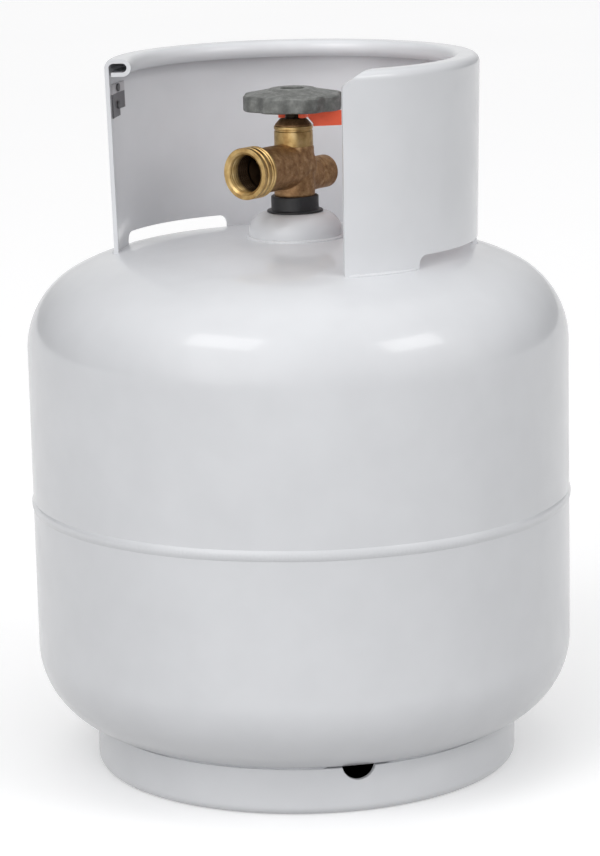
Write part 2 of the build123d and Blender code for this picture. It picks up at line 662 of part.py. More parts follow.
def handwheel():
    """Lobed wheel: crowned top, skirt with hollow underside, hub with a square hole."""
    low, high = WHEEL_Z
    crown = Polyline(
        (0, low), (WHEEL_R, low), (WHEEL_R, high - WHEEL_EDGE_R), (WHEEL_R - WHEEL_EDGE_R, high),
        WHEEL_SHOULDER, (WHEEL_CROWN_R, WHEEL_CROWN_Z), (0, WHEEL_CROWN_Z), close=True)
    places = Rot(0, 0, SCALLOP_BEARING - 90) * PolarLocations(SCALLOP_CENTRE_R, WHEEL_LOBES)
    outline = Circle(WHEEL_R) - places * Circle(SCALLOP_R)
    outline = fillet(outline.vertices(), LOBE_EDGE_R)
    body = spin(crown) & extrude(Pos(0, 0, low - 1) * outline, WHEEL_CROWN_Z - low + 2)
    body -= ring(HUB_R, SKIRT_INNER_R, low - 1, SKIRT_ROOF_Z)
    body -= rod(HUB_R + 0.5, low - 1, HUB_BOTTOM_Z)
    body -= rod(RECESS_R, RECESS_Z, WHEEL_CROWN_Z + 1)
    return body - bar(DRIVE_SIDE + 2 * FIT_GAP, low - 1, RECESS_Z + 1)


def wheel_washer():
    """Washer under the wheel's nut."""
    return ring(STUB_R + 0.1, NUT_FLATS / 2 + 1.4, RECESS_Z, RECESS_Z + NUT_WASHER_H)


def wheel_nut():
    """Hexagon nut that holds the wheel."""
    low = RECESS_Z + NUT_WASHER_H
    hexagon = RegularPolygon(NUT_FLATS / 2, 6, major_radius=False)
    body = extrude(Pos(0, 0, low) * hexagon, NUT_TOP_Z - low)
    return body - rod(STUB_R + FIT_GAP, low - 1, NUT_TOP_Z + 1)


# ---------------------------------------------------------------- relief valve

def relief_cap():
    """Screwed nose of the relief valve, with a guide hole and vents in its end wall."""
    body = turned_along(
        ((RELIEF_THREAD_Y + 0.2, RELIEF_THREAD_R - FIT_GAP), (RELIEF_BOSS_END_Y, RELIEF_THREAD_R - FIT_GAP),
         (RELIEF_BOSS_END_Y, RELIEF_NOSE_R), (RELIEF_NOSE_Y - RELIEF_EDGE, RELIEF_NOSE_R),
         (RELIEF_NOSE_Y, RELIEF_NOSE_R - RELIEF_EDGE)),
        PLUS_Y, RELIEF_Z)
    body -= along(RELIEF_BORE_R, RELIEF_THREAD_Y - 1, RELIEF_WALL_Y, PLUS_Y, RELIEF_Z)
    body -= along(POPPET_STEM_R + FIT_GAP, RELIEF_WALL_Y - 1, RELIEF_NOSE_Y + 1, PLUS_Y, RELIEF_Z)
    vent_plane = Plane(origin=(0, RELIEF_WALL_Y - 1, RELIEF_Z), z_dir=(0, 1, 0))
    for place in PolarLocations(VENT_CIRCLE_R, VENT_COUNT):
        body -= extrude(vent_plane * place * Circle(VENT_R), RELIEF_NOSE_Y - RELIEF_WALL_Y + 2)
    return body


def relief_seal():
    """Soft disc on the poppet's face."""
    start = RELIEF_SEAT_Y + CLOSED_GAP
    return along(POPPET_R - 0.6, start, start + SEAL_H, PLUS_Y, RELIEF_Z)


def relief_poppet():
    """Poppet head behind the seal, with a stem guided by the cap."""
    start = RELIEF_SEAT_Y + CLOSED_GAP + SEAL_H
    head = along(POPPET_R, start, start + POPPET_H, PLUS_Y, RELIEF_Z)
    return head + along(POPPET_STEM_R, start + POPPET_H, RELIEF_WALL_Y + STEM_GUIDE, PLUS_Y, RELIEF_Z)


def relief_spring():
    """Compression spring between the poppet's head and the cap's end wall."""
    start = RELIEF_SEAT_Y + CLOSED_GAP + SEAL_H + POPPET_H + SPRING_WIRE_R + 0.05
    length = RELIEF_WALL_Y - start - SPRING_WIRE_R - 0.05
    pitch = length / SPRING_TURNS
    coil = Helix(pitch, length, SPRING_R)
    section = Plane(origin=coil @ 0, z_dir=coil % 0) * Circle(SPRING_WIRE_R)
    spring = sweep(section, path=coil)
    return Plane(origin=(0, start, RELIEF_Z), z_dir=(0, 1, 0)) * spring


# ---------------------------------------------------------------- bleed screw and dip tube

def bleed_seal():
    """Washer under the bleed screw's head."""
    body = along(BLEED_HEAD_R - 0.3, -BLEED_BOSS_X, -BLEED_BOSS_X + SEAL_GAP_H, MINUS_X, BLEED_Z)
    return body - along(BLEED_R + FIT_GAP, -BLEED_BOSS_X - 1, -BLEED_BOSS_X + 2, MINUS_X, BLEED_Z)


def bleed_screw():
    """Slotted screw that vents through the dip tube."""
    head_start = -BLEED_BOSS_X + SEAL_GAP_H + CLOSED_GAP
    head_end = head_start + BLEED_HEAD_H
    head = along(BLEED_HEAD_R, head_start, head_end, MINUS_X, BLEED_Z)
    shank = along(BLEED_R, -DIP_X + 3, head_start, MINUS_X, BLEED_Z)
    slot = Pos(-head_end, 0, BLEED_Z) * Box(3, 3 * BLEED_HEAD_R, BLEED_SLOT)
    return head + shank - slot


def dip_tube():
    """Tube whose lower end marks the highest safe liquid level."""
    outer = rod(DIP_R - 0.02, DIP_BOTTOM_Z, SHANK_BOTTOM_Z + 11.9, DIP_X)
    return outer - rod(DIP_BORE_R, DIP_BOTTOM_Z - 1, SHANK_BOTTOM_Z + 13, DIP_X)


# ---------------------------------------------------------------- tether and plug

PLUG_X, PLUG_Y, _ = at_bearing(TETHER_R, TETHER_BEARING)


def tether_strap():
    """Moulded strap: open clip round the spindle, upright web, and an eye for the plug."""
    clip_start = CLIP_GAP_BEARING + CLIP_GAP_ANGLE / 2
    clip = ring(*CLIP_R, *CLIP_Z, 360 - CLIP_GAP_ANGLE, clip_start)
    low, high = STRAP_Z
    root = ring(CLIP_R[1] - CLIP_ROOT, STRAP_HEEL[0][0] + CLIP_ROOT, CLIP_Z[0], high, CLIP_ROOT_ANGLE,
                TETHER_BEARING - CLIP_ROOT_ANGLE / 2)
    end_r = TETHER_R - PLUG_BUTTON_R - PLUG_SIDE_GAP
    side = Polyline((STRAP_HEEL[0][0], high), *STRAP_HEEL, (end_r, low), (end_r, high), close=True)
    web = Pos(0, STRAP_SHEET / 2, 0) * extrude(Plane.XZ * make_face(side), STRAP_SHEET)
    web = Rot(0, 0, TETHER_BEARING - 90) * web
    eye = Pos(PLUG_X, PLUG_Y, 0) * ring(*EYE_R, *EYE_Z)
    hole = rod(EYE_R[0], EYE_Z[0] - 1, high + 1, PLUG_X, PLUG_Y)
    return clip + root + (web + eye - hole)


def pol_plug():
    """Outlet plug: button above the eye, neck, grip head, screwed part and conical nose."""
    head_low, head_high = PLUG_HEAD_Z
    button_low = EYE_Z[1] + PLUG_PLAY
    outline = Polyline(
        (0, PLUG_BUTTON_TOP_Z), (PLUG_BUTTON_R - PLUG_EDGE, PLUG_BUTTON_TOP_Z),
        (PLUG_BUTTON_R, PLUG_BUTTON_TOP_Z - PLUG_EDGE),
        (PLUG_BUTTON_R, button_low), (PLUG_NECK_R, button_low), (PLUG_NECK_R, head_high),
        (PLUG_HEAD_R - PLUG_EDGE, head_high), (PLUG_HEAD_R, head_high - PLUG_EDGE),
        (PLUG_HEAD_R, head_low + PLUG_EDGE), (PLUG_HEAD_R - PLUG_EDGE, head_low),
        (PLUG_THREAD_R, head_low), (PLUG_THREAD_R, PLUG_THREAD_Z),
        (PLUG_NOSE_R, PLUG_THREAD_Z), (PLUG_NOSE_R, PLUG_NOSE_Z), (PLUG_TIP_R, PLUG_TIP_Z), (0, PLUG_TIP_Z),
        close=True)
    body = spin(outline)
    groove = Pos(0, 0, PLUG_ORING_Z) * Torus(PLUG_ORING_R, PLUG_ORING_SECTION_R + 0.03)
    body -= groove
    for place in PolarLocations(PLUG_HEAD_R + 1.2, PLUG_FLUTES):
        body -= Pos(0, 0, (head_low + head_high) / 2) * place * Cylinder(FLUTE_R, head_high - head_low + 1)
    return Pos(PLUG_X, PLUG_Y, 0) * body


def plug_o_ring():
    """Seal ring on the plug's nose."""
    return Pos(PLUG_X, PLUG_Y, PLUG_ORING_Z) * Torus(PLUG_ORING_R, PLUG_ORING_SECTION_R)


# ---------------------------------------------------------------- write every piece

def build():
    """All pieces by node name."""
    foot = foot_ring()
    tag = id_tag()
    guard = collar()
    for hole in rivet_pair(RIVET_R + 0.05, COLLAR_TOP_R - 20, COLLAR_TOP_R + 10):
        guard -= hole
        tag -= hole
    boss = neck_boss()
    return {
        "upper_shell": upper_shell(),
        "lower_shell": lower_shell(),
        "girth_weld": girth_weld(),
        "neck_boss": boss,
        "boss_weld": boss_weld(boss),
        "collar": guard,
        "collar_welds": collar_welds(guard),
        "foot_ring": foot,
        "foot_ring_welds": foot_ring_welds(foot),
        "id_tag": tag,
        "tag_rivets": tag_rivets(),
        "valve_body": valve_body(),
        "neck_seal_ring": neck_seal_ring(),
        "gland_nut": gland_nut(),
        "stem_o_ring": stem_o_ring(),
        "spindle_washer": spindle_washer(),
        "upper_spindle": upper_spindle(),
        "lower_spindle": lower_spindle(),
        "seat_disc": seat_disc(),
        "handwheel": handwheel(),
        "wheel_washer": wheel_washer(),
        "wheel_nut": wheel_nut(),
        "relief_cap": relief_cap(),
        "relief_seal": relief_seal(),
        "relief_poppet": relief_poppet(),
        "relief_spring": relief_spring(),
        "bleed_seal": bleed_seal(),
        "bleed_screw": bleed_screw(),
        "dip_tube": dip_tube(),
        "tether_strap": tether_strap(),
        "pol_plug": pol_plug(),
        "plug_o_ring": plug_o_ring(),
    }


os.makedirs("parts", exist_ok=True)
for name, piece in build().items():
    export_step(piece, f"parts/{name}.step")
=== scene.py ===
import math
import bmesh
import bpy
import numpy as np
from mathutils import Matrix, Vector


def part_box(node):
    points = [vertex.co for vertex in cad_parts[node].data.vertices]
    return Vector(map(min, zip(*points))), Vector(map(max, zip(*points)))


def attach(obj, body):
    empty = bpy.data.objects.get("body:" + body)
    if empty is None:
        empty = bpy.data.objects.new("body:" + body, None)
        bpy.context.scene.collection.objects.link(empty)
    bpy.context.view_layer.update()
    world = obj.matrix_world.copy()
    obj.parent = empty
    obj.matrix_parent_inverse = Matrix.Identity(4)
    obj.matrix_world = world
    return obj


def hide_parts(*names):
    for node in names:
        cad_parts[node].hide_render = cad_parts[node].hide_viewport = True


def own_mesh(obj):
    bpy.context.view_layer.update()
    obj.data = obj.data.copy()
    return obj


# Looks for the propane cylinder. Shapes are worked out in millimetres, in the frame that the
# CAD shares, and turned into metres where a mesh is made. A bearing is measured from -Y towards +X.

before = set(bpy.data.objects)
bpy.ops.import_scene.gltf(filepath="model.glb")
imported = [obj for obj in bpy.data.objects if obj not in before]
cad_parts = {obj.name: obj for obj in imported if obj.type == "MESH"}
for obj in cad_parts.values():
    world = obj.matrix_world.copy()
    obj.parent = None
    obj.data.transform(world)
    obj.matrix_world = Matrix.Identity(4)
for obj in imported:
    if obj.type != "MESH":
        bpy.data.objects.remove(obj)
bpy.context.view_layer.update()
scene = bpy.context.scene
MM = 0.001


def high(node):
    """Highest corner of a node's box, in millimetres."""
    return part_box(node)[1] / MM


def low(node):
    """Lowest corner of a node's box, in millimetres."""
    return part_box(node)[0] / MM


# ---------------------------------------------------------------- sizes

# What a CAD node's box gives is read from it. The rest repeats the part's sizes, or is for looks.

# Vessel.
BODY_R = (high("upper_shell").x - low("upper_shell").x) / 2
WALL = 2.4
LOWER_TANGENT_Z = 74.0
UPPER_TANGENT_Z = 249.0
TOP_HEAD_RADII = (49.5, 105.0, 680.0)
TOP_KNUCKLE_TURN = math.radians(62)
BOTTOM_HEAD_RADII = (48.0, 400.0)
NECK_HOLE_R = 19.0

# Girth seam, and the lower half's lip behind it.
SEAM_Z = (low("girth_weld").z + high("girth_weld").z) / 2
SEAM_HALF = 1.75
SEAM_PROUD = 0.9
SEAM_WIDTH = 6.4
LIP_TOP_Z = high("lower_shell").z

# Foot ring.
FOOT_R = (high("foot_ring").x - low("foot_ring").x) / 2
FOOT_SHEET = 3.0
FOOT_CURL_R = 5.0
FOOT_LIP_R = 111.0
FOOT_ROOT_GAP = 1.05
NOTCH_R = 9.8
NOTCH_Z = 29.4
NOTCH_BEARINGS = (50.5, 170.5, 290.5)

# Collar: its wall, rolled rim, opening, drain slots, trimmed end and tag.
COLLAR_TOP_Z = high("collar").z
COLLAR_TOP_R = 107.5
COLLAR_FOOT_R = 105.3
COLLAR_FOOT_Z = 303.0
COLLAR_SHEET = 2.4
RIM_WIDTH = 15.2
RIM_BEND_R = 5.0
RIM_EDGE_R = 103.7
RIM_Z = COLLAR_TOP_Z - RIM_BEND_R
OPENING_HALF = 51.6
SLOT_BEARINGS = ((77.5, 130.0), (240.5, 290.0))
SLOT_TOP_Z = 310.0
SLOT_CORNER_R = 5.5
MITRE_Z = 406.6
MITRE_RISE = 1.25
MITRE_INSET = 0.85
TAG_BAND_Z = 393.7

# Valve: its outlet, and the relief branch on the far side.
OUTLET_Z = 352.0
OUTLET_FACE = 47.0
OUTLET_R = 14.8
GROOVE_R = 13.8
POL_R = 11.24
POL_DEPTH = 17.0
THREAD_PITCH = 1.814
THREAD_DEPTH = 0.75
RELIEF_Z = 345.0

# Level directions of the valve's branches.
FRONT, BACK, LEFT = (0, -1), (0, 1), (-1, 0)


# ---------------------------------------------------------------- outlines

def arc_points(centre, radius, start, end, count):
    """Points of an arc; angles in radians, both ends included."""
    angles = np.linspace(start, end, count)
    return [(centre[0] + radius * math.cos(a), centre[1] + radius * math.sin(a)) for a in angles]


def arc_through(first, middle, last, count=12):
    """Points of the arc through three points."""
    (ax, ay), (bx, by), (cx, cy) = first, middle, last
    twice = 2 * (ax * (by - cy) + bx * (cy - ay) + cx * (ay - by))
    squares = [x * x + y * y for x, y in (first, middle, last)]
    x = (squares[0] * (by - cy) + squares[1] * (cy - ay) + squares[2] * (ay - by)) / twice
    y = (squares[0] * (cx - bx) + squares[1] * (ax - cx) + squares[2] * (bx - ax)) / twice
    start, end = math.atan2(ay - y, ax - x), math.atan2(cy - y, cx - x)
    return arc_points((x, y), math.hypot(ax - x, ay - y), start, end, count)


def soften(points, radius, steps=4):
    """Closed outline with each corner rounded; a radius is one number or one for each corner."""
    radii = radius if hasattr(radius, "__len__") else [radius] * len(points)
    edge_share = 0.48
    result = []
    for index, corner in enumerate(points):
        here = Vector(corner)
        before = Vector(points[index - 1]) - here
        after = Vector(points[(index + 1) % len(points)]) - here
        if radii[index] <= 0 or before.length < 1e-6 or after.length < 1e-6:
            result.append(tuple(here))
            continue
        half = before.angle(after) / 2
        longest = edge_share * min(before.length, after.length)
        reach = min(radii[index] / math.tan(half), longest)
        start = here + before.normalized() * reach
        end = here + after.normalized() * reach
        for step in range(steps + 1):
            t = step / steps
            result.append(tuple(start * (1 - t) ** 2 + here * 2 * t * (1 - t) + end * t ** 2))
    return result


def head_arcs(radii, first_turn=None):
    """Arcs of a dished head as (centre radius, centre height, arc radius, start, end)."""
    arcs = []
    centre_r, centre_z, start = BODY_R - radii[0], 0.0, 0.0
    for index, radius in enumerate(radii):
        if index == len(radii) - 1:
            arcs.append((centre_r, centre_z, radius, start, math.pi / 2))
            return arcs
        step = radii[index + 1] - radius
        last_joint = index == len(radii) - 2
        end = math.acos(centre_r / step) if last_joint else first_turn
        arcs.append((centre_r, centre_z, radius, start, end))
        centre_r -= step * math.cos(end)
        centre_z -= step * math.sin(end)
        start = end


TOP_ARCS = head_arcs(TOP_HEAD_RADII, TOP_KNUCKLE_TURN)
BOTTOM_ARCS = head_arcs(BOTTOM_HEAD_RADII)


def head_points(arcs, inset, inner_r=0.0, count=28):
    """Points of a head's curve from the wall to inner_r, as (radius, height over the tangent)."""
    points = []
    for centre_r, centre_z, radius, start, end in arcs:
        arc_r = radius - inset
        if end > math.pi / 2 - 1e-9:
            end = math.acos(max(inner_r - centre_r, 0.0) / arc_r)
        points += arc_points((centre_r, centre_z), arc_r, start, end, count)[bool(points):]
    return points


def head_height(arcs, radius):
    """Height of a head's outer surface over its tangent plane, at a radius."""
    for centre_r, centre_z, arc_r, _, end in arcs:
        if radius >= centre_r + arc_r * math.cos(end) - 1e-6:
            return centre_z + math.sqrt(arc_r ** 2 - (radius - centre_r) ** 2)


def dome_z(radius):
    """Height of the dome's outer surface at a radius."""
    return UPPER_TANGENT_Z + head_height(TOP_ARCS, radius)


# ---------------------------------------------------------------- meshes

def on_bearing(radius, bearing, z):
    """Point at a distance from the axis on a bearing in degrees."""
    angle = math.radians(bearing)
    return (radius * math.sin(angle), -radius * math.cos(angle), z)


def lathe(outline, segments=192):
    """Vertices and faces of a closed outline of (radius, height), turned about Z."""
    size = len(outline)
    verts = [on_bearing(r, 360 * i / segments, z) for i in range(segments) for r, z in outline]
    faces = []
    for i in range(segments):
        here, there = i * size, (i + 1) % segments * size
        faces += [(here + j, there + j, there + (j + 1) % size, here + (j + 1) % size) for j in range(size)]
    return verts, faces


def tube_between(rings, closed=False):
    """Faces that join equal rings of vertices, with end caps where the tube isn't closed."""
    size, count = len(rings[0]), len(rings)
    verts = [point for ring in rings for point in ring]
    faces = []
    for i in range(count if closed else count - 1):
        here, there = i * size, (i + 1) % count * size
        faces += [(here + j, there + j, there + (j + 1) % size, here + (j + 1) % size) for j in range(size)]
    if not closed:
        faces += [tuple(range(size))[::-1], tuple(range((count - 1) * size, count * size))]
    return verts, faces


def place_along(verts, direction, z):
    """Moves a turned shape from the Z axis to a level axis through the tank's axis at a height."""
    turn = Vector((0, 0, 1)).rotation_difference(Vector((*direction, 0))).to_matrix()
    return [tuple(turn @ Vector(v) + Vector((0, 0, z))) for v in verts]


def clean(mesh, sharp=35.0, weld=1e-6):
    """Welds doubles, points normals outwards and marks the edges that stay sharp."""
    bm = bmesh.new()
    bm.from_mesh(mesh)
    bmesh.ops.remove_doubles(bm, verts=bm.verts, dist=weld)
    bmesh.ops.dissolve_degenerate(bm, edges=bm.edges, dist=weld / 10)
    bmesh.ops.triangulate(bm, faces=[f for f in bm.faces if len(f.verts) > 4])
    bmesh.ops.recalc_face_normals(bm, faces=bm.faces)
    limit = math.radians(sharp)
    for face in bm.faces:
        face.smooth = True
    for edge in bm.edges:
        edge.smooth = len(edge.link_faces) == 2 and edge.calc_face_angle(0.0) < limit
    bm.to_mesh(mesh)
    bm.free()


def show(name, shape, material, body="root", stands_for=(), sharp=35.0):
    """New piece from vertices in millimetres and faces; it rides on a body."""
    verts, faces = shape
    mesh = bpy.data.meshes.new(name)
    mesh.from_pydata([tuple(c * MM for c in v) for v in verts], [], faces)
    clean(mesh, sharp)
    piece = bpy.data.objects.new(name, mesh)
    scene.collection.objects.link(piece)
    mesh.materials.append(material)
    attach(piece, body)
    if stands_for:
        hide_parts(*stands_for)
    return piece


def apply_modifiers(piece):
    """Bakes a piece's modifiers into its mesh."""
    graph = bpy.context.evaluated_depsgraph_get()
    mesh = bpy.data.meshes.new_from_object(piece.evaluated_get(graph))
    piece.modifiers.clear()
    piece.data = mesh


def bevel(piece, width, limit=35.0):
    """Rounds the edges that are sharper than the limit; width in millimetres."""
    modifier = piece.modifiers.new("edges", "BEVEL")
    modifier.width = width * MM
    modifier.segments = 3
    modifier.limit_method = "ANGLE"
    modifier.angle_limit = math.radians(limit)
    apply_modifiers(piece)
    clean(piece.data, sharp=limit)


def copied(node, name, material, body="root"):
    """Copy of a CAD node's mesh, which stands for it."""
    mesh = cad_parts[node].data.copy()
    mesh.materials.clear()
    clean(mesh)
    piece = bpy.data.objects.new(name, mesh)
    scene.collection.objects.link(piece)
    mesh.materials.append(material)
    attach(piece, body)
    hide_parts(node)
    return piece


def refined(node, name, width, material, body="root"):
    """Copy of a CAD node with rounded edges, which stands for it."""
    piece = copied(node, name, material, body)
    bevel(piece, width)
    return piece


# ---------------------------------------------------------------- materials

class Shader:
    """Small helper that builds a node material."""

    def __init__(self, name, color, roughness, metallic=0.0):
        self.material = bpy.data.materials.new(name)
        self.material.use_nodes = True
        self.tree = self.material.node_tree
        self.bsdf = self.tree.nodes["Principled BSDF"]
        self.bsdf.inputs["Base Color"].default_value = (*color, 1)
        self.bsdf.inputs["Roughness"].default_value = roughness
        self.bsdf.inputs["Metallic"].default_value = metallic
        self.coords = self.tree.nodes.new("ShaderNodeTexCoord").outputs["Object"]

    def node(self, kind, **values):
        """New node; each value goes to the socket of that name, or else to the node's own setting."""
        node = self.tree.nodes.new(kind)
        for key, value in values.items():
            if key in node.inputs:
                node.inputs[key].default_value = value
            else:
                setattr(node, key, value)
        return node

    def link(self, source, target):
        self.tree.links.new(source, target)

    def stretched(self, scale):
        """Object coordinates scaled apart along X, Y and Z."""
        mapping = self.node("ShaderNodeMapping")
        mapping.inputs["Scale"].default_value = scale
        self.link(self.coords, mapping.inputs["Vector"])
        return mapping.outputs["Vector"]

    def noise(self, scale, detail=3.0, coords=None, rough=0.5):
        """Noise of a scale per metre."""
        node = self.node("ShaderNodeTexNoise", Scale=scale, Detail=detail, Roughness=rough)
        self.link(coords or self.coords, node.inputs["Vector"])
        return node.outputs["Fac"]

    def ramp(self, source, stops):
        """Colours or grey values over a source, from (place, value) stops."""
        node = self.node("ShaderNodeValToRGB")
        elements = node.color_ramp.elements
        for index, (place, value) in enumerate(stops):
            element = elements[index] if index < 2 else elements.new(place)
            element.position = place
            element.color = (*value, 1) if hasattr(value, "__len__") else (value, value, value, 1)
        self.link(source, node.inputs["Fac"])
        return node.outputs["Color"]

    def mix(self, factor, first, second, blend="MIX"):
        """Colour mix; first and second are outputs or colours, factor an output or a number."""
        node = self.node("ShaderNodeMix", data_type="RGBA", blend_type=blend)
        for socket, value in ((node.inputs[0], factor), (node.inputs[6], first), (node.inputs[7], second)):
            if isinstance(value, bpy.types.NodeSocket):
                self.link(value, socket)
            elif hasattr(value, "__len__"):
                socket.default_value = (*value, 1)
            else:
                socket.default_value = value
        return node.outputs[2]

    def span(self, source, start, end, to_start=0.0, to_end=1.0):
        """Maps a source's span from start to end onto another span."""
        node = self.node("ShaderNodeMapRange")
        node.inputs["From Min"].default_value = start
        node.inputs["From Max"].default_value = end
        node.inputs["To Min"].default_value = to_start
        node.inputs["To Max"].default_value = to_end
        self.link(source, node.inputs["Value"])
        return node.outputs["Result"]

    def bump(self, height, strength, distance, under=None):
        """Surface relief, over another one where under is given."""
        node = self.node("ShaderNodeBump", Strength=strength, Distance=distance)
        self.link(height, node.inputs["Height"])
        if under:
            self.link(under, node.inputs["Normal"])
        return node.outputs["Normal"]

    def height(self):
        """Z of the point, in metres."""
        parts = self.node("ShaderNodeSeparateXYZ")
        self.link(self.coords, parts.inputs["Vector"])
        return parts.outputs["Z"]

    def to(self, **links):
        """Links outputs to the shader's sockets, spaces written as underscores."""
        for key, output in links.items():
            self.link(output, self.bsdf.inputs[key.replace("_", " ")])
        return self


def white_paint():
    """Glossy powder coat: slow waves, slow tone drift, a little dust in the texture."""
    tint = (0.71, 0.72, 0.745)
    shader = Shader("white_powder_coat", tint, 0.3)
    drift = shader.noise(9.0, 2.0)
    fine = shader.noise(45.0, 2.0)
    shade = tuple(c * 0.965 for c in tint)
    light = tuple(min(c * 1.03, 1.0) for c in tint)
    tone = shader.ramp(drift, [(0.3, shade), (0.7, light)])
    dust = shader.ramp(fine, [(0.35, 0.93), (0.65, 1.0)])
    colour = shader.mix(0.35, tone, dust, "MULTIPLY")
    rough = shader.span(shader.noise(60.0, 2.0), 0.3, 0.7, 0.285, 0.37)
    waves = shader.bump(shader.noise(16.0, 1.0), 0.08, 0.0012)
    shader.bsdf.inputs["Coat Weight"].default_value = 0.50
    shader.bsdf.inputs["Coat Roughness"].default_value = 0.10
    return shader.to(Base_Color=colour, Roughness=rough, Normal=waves).material


def forged_brass():
    """Shot-blasted brass forging: brown and gold blotches over a fine grain."""
    shader = Shader("forged_brass", (0.42, 0.25, 0.12), 0.52, 1.0)
    blotch = shader.noise(260.0, 4.0, rough=0.6)
    stops = [(0.30, (0.25, 0.14, 0.068)), (0.55, (0.42, 0.25, 0.125)), (0.75, (0.60, 0.41, 0.22))]
    colour = shader.ramp(blotch, stops)
    rough = shader.span(shader.noise(700.0, 2.0), 0.3, 0.7, 0.44, 0.62)
    grain = shader.bump(shader.noise(1800.0, 3.0), 0.35, 0.0003)
    dents = shader.bump(shader.noise(300.0, 2.0), 0.25, 0.0008, grain)
    return shader.to(Base_Color=colour, Roughness=rough, Normal=dents).material


def turned_brass(name="turned_brass", painted_bore_shade=False):
    """Machined brass: bright, with fine tool lines round the piece and slight tarnish; for the outlet, the
    deep part of the bore is painted near black as painted shade.
    """
    shader = Shader(name, (0.54, 0.37, 0.16), 0.35, 1.0)
    tarnish = shader.noise(190.0, 4.0)
    stops = [(0.30, (0.36, 0.22, 0.085)), (0.52, (0.54, 0.37, 0.155)), (0.75, (0.68, 0.50, 0.25))]
    colour = shader.ramp(tarnish, stops)
    lines = shader.bump(shader.noise(900.0, 2.0, shader.stretched((1, 7, 7))), 0.12, 0.0002)
    rough = shader.span(shader.noise(420.0, 2.0), 0.3, 0.7, 0.28, 0.42)
    if painted_bore_shade:
        # Painted shade: deep in the outlet's bore the colour is mixed towards near black.
        colour = shader.mix(bore_depth(shader), colour, (0.028, 0.017, 0.010))
    return shader.to(Base_Color=colour, Roughness=rough, Normal=lines).material


def bore_depth(shader):
    """How deep a point lies in the outlet's bore, as the mask of its painted shade: 0 at the mouth and
    outside, 1 in the part painted dark.
    """
    reach = shader.node("ShaderNodeVectorMath", operation="SUBTRACT")
    shader.link(shader.coords, reach.inputs[0])
    reach.inputs[1].default_value = (0, 0, OUTLET_Z * MM)
    parts = shader.node("ShaderNodeSeparateXYZ")
    shader.link(reach.outputs["Vector"], parts.inputs["Vector"])
    level = shader.node("ShaderNodeVectorMath", operation="MULTIPLY")
    shader.link(reach.outputs["Vector"], level.inputs[0])
    level.inputs[1].default_value = (1, 0, 1)
    length = shader.node("ShaderNodeVectorMath", operation="LENGTH")
    shader.link(level.outputs["Vector"], length.inputs[0])
    inside = shader.span(length.outputs["Value"], (POL_R + 0.1) * MM, (POL_R + 0.4) * MM, 1.0, 0.0)
    depth = shader.span(parts.outputs["Y"], (1.5 - OUTLET_FACE) * MM, (8.5 - OUTLET_FACE) * MM)
    both = shader.node("ShaderNodeMath", operation="MULTIPLY")
    shader.link(inside, both.inputs[0])
    shader.link(depth, both.inputs[1])
    return both.outputs[0]


def cast_grey():
    """Mottled grey casting of the handwheel, worn brighter in places."""
    shader = Shader("grey_casting", (0.20, 0.205, 0.195), 0.45, 0.35)
    mottle = shader.noise(230.0, 5.0, rough=0.65)
    stops = [(0.30, (0.11, 0.114, 0.108)), (0.52, (0.17, 0.175, 0.166)), (0.74, (0.27, 0.275, 0.262))]
    colour = shader.ramp(mottle, stops)
    rough = shader.span(shader.noise(500.0, 2.0), 0.3, 0.7, 0.34, 0.55)
    grain = shader.bump(shader.noise(1300.0, 3.0), 0.3, 0.0003)
    return shader.to(Base_Color=colour, Roughness=rough, Normal=grain).material


def moulded(name, color, roughness, variation=0.12, glow=0.0):
    """Moulded plastic or rubber: fine skin, slight tone change; glow is painted light, a glow of the part's
    own though it is no lamp.
    """
    shader = Shader(name, color, roughness)
    shader.bsdf.inputs["Emission Color"].default_value = (*color, 1)
    shader.bsdf.inputs["Emission Strength"].default_value = glow
    shade = tuple(c * (1 - variation) for c in color)
    light = tuple(min(1.0, c * (1 + variation)) for c in color)
    tone = shader.ramp(shader.noise(120.0, 3.0), [(0.35, shade), (0.65, light)])
    rough = shader.span(shader.noise(300.0, 2.0), 0.3, 0.7, roughness * 0.9, min(1.0, roughness * 1.15))
    skin = shader.bump(shader.noise(900.0, 2.0), 0.2, 0.0002)
    return shader.to(Base_Color=tone, Roughness=rough, Normal=skin).material


def steel(name, color, roughness):
    """Bare or plated steel with fine scratches."""
    shader = Shader(name, color, roughness, 1.0)
    streaks = shader.noise(700.0, 3.0, shader.stretched((1, 1, 9)))
    tone = shader.ramp(streaks, [(0.3, tuple(c * 0.8 for c in color)), (0.7, color)])
    rough = shader.span(streaks, 0.3, 0.7, roughness * 0.8, roughness * 1.2)
    lines = shader.bump(streaks, 0.12, 0.0002)
    return shader.to(Base_Color=tone, Roughness=rough, Normal=lines).material


def tag_plastic():
    """Dark tag with a lighter band along its top."""
    shader = Shader("tag_plastic", (0.10, 0.10, 0.11), 0.4)
    band = shader.span(shader.height(), (TAG_BAND_Z - 0.2) * MM, (TAG_BAND_Z + 0.2) * MM)
    speckle = shader.ramp(shader.noise(700.0, 2.0), [(0.3, 0.85), (0.7, 1.0)])
    tone = shader.mix(band, (0.115, 0.11, 0.12), (0.50, 0.49, 0.51))
    return shader.to(Base_Color=shader.mix(0.6, tone, speckle, "MULTIPLY")).material


PAINT = white_paint()
TAG = tag_plastic()
FORGED = forged_brass()
TURNED = turned_brass()
BORE_SHADED_BRASS = turned_brass("brass_with_painted_bore_shade", painted_bore_shade=True)
CASTING = cast_grey()
BLACK = moulded("black_satin", (0.018, 0.018, 0.02), 0.42)
RUBBER = moulded("black_rubber", (0.014, 0.014, 0.014), 0.62)
NYLON = moulded("natural_nylon", (0.74, 0.71, 0.62), 0.4, 0.06)
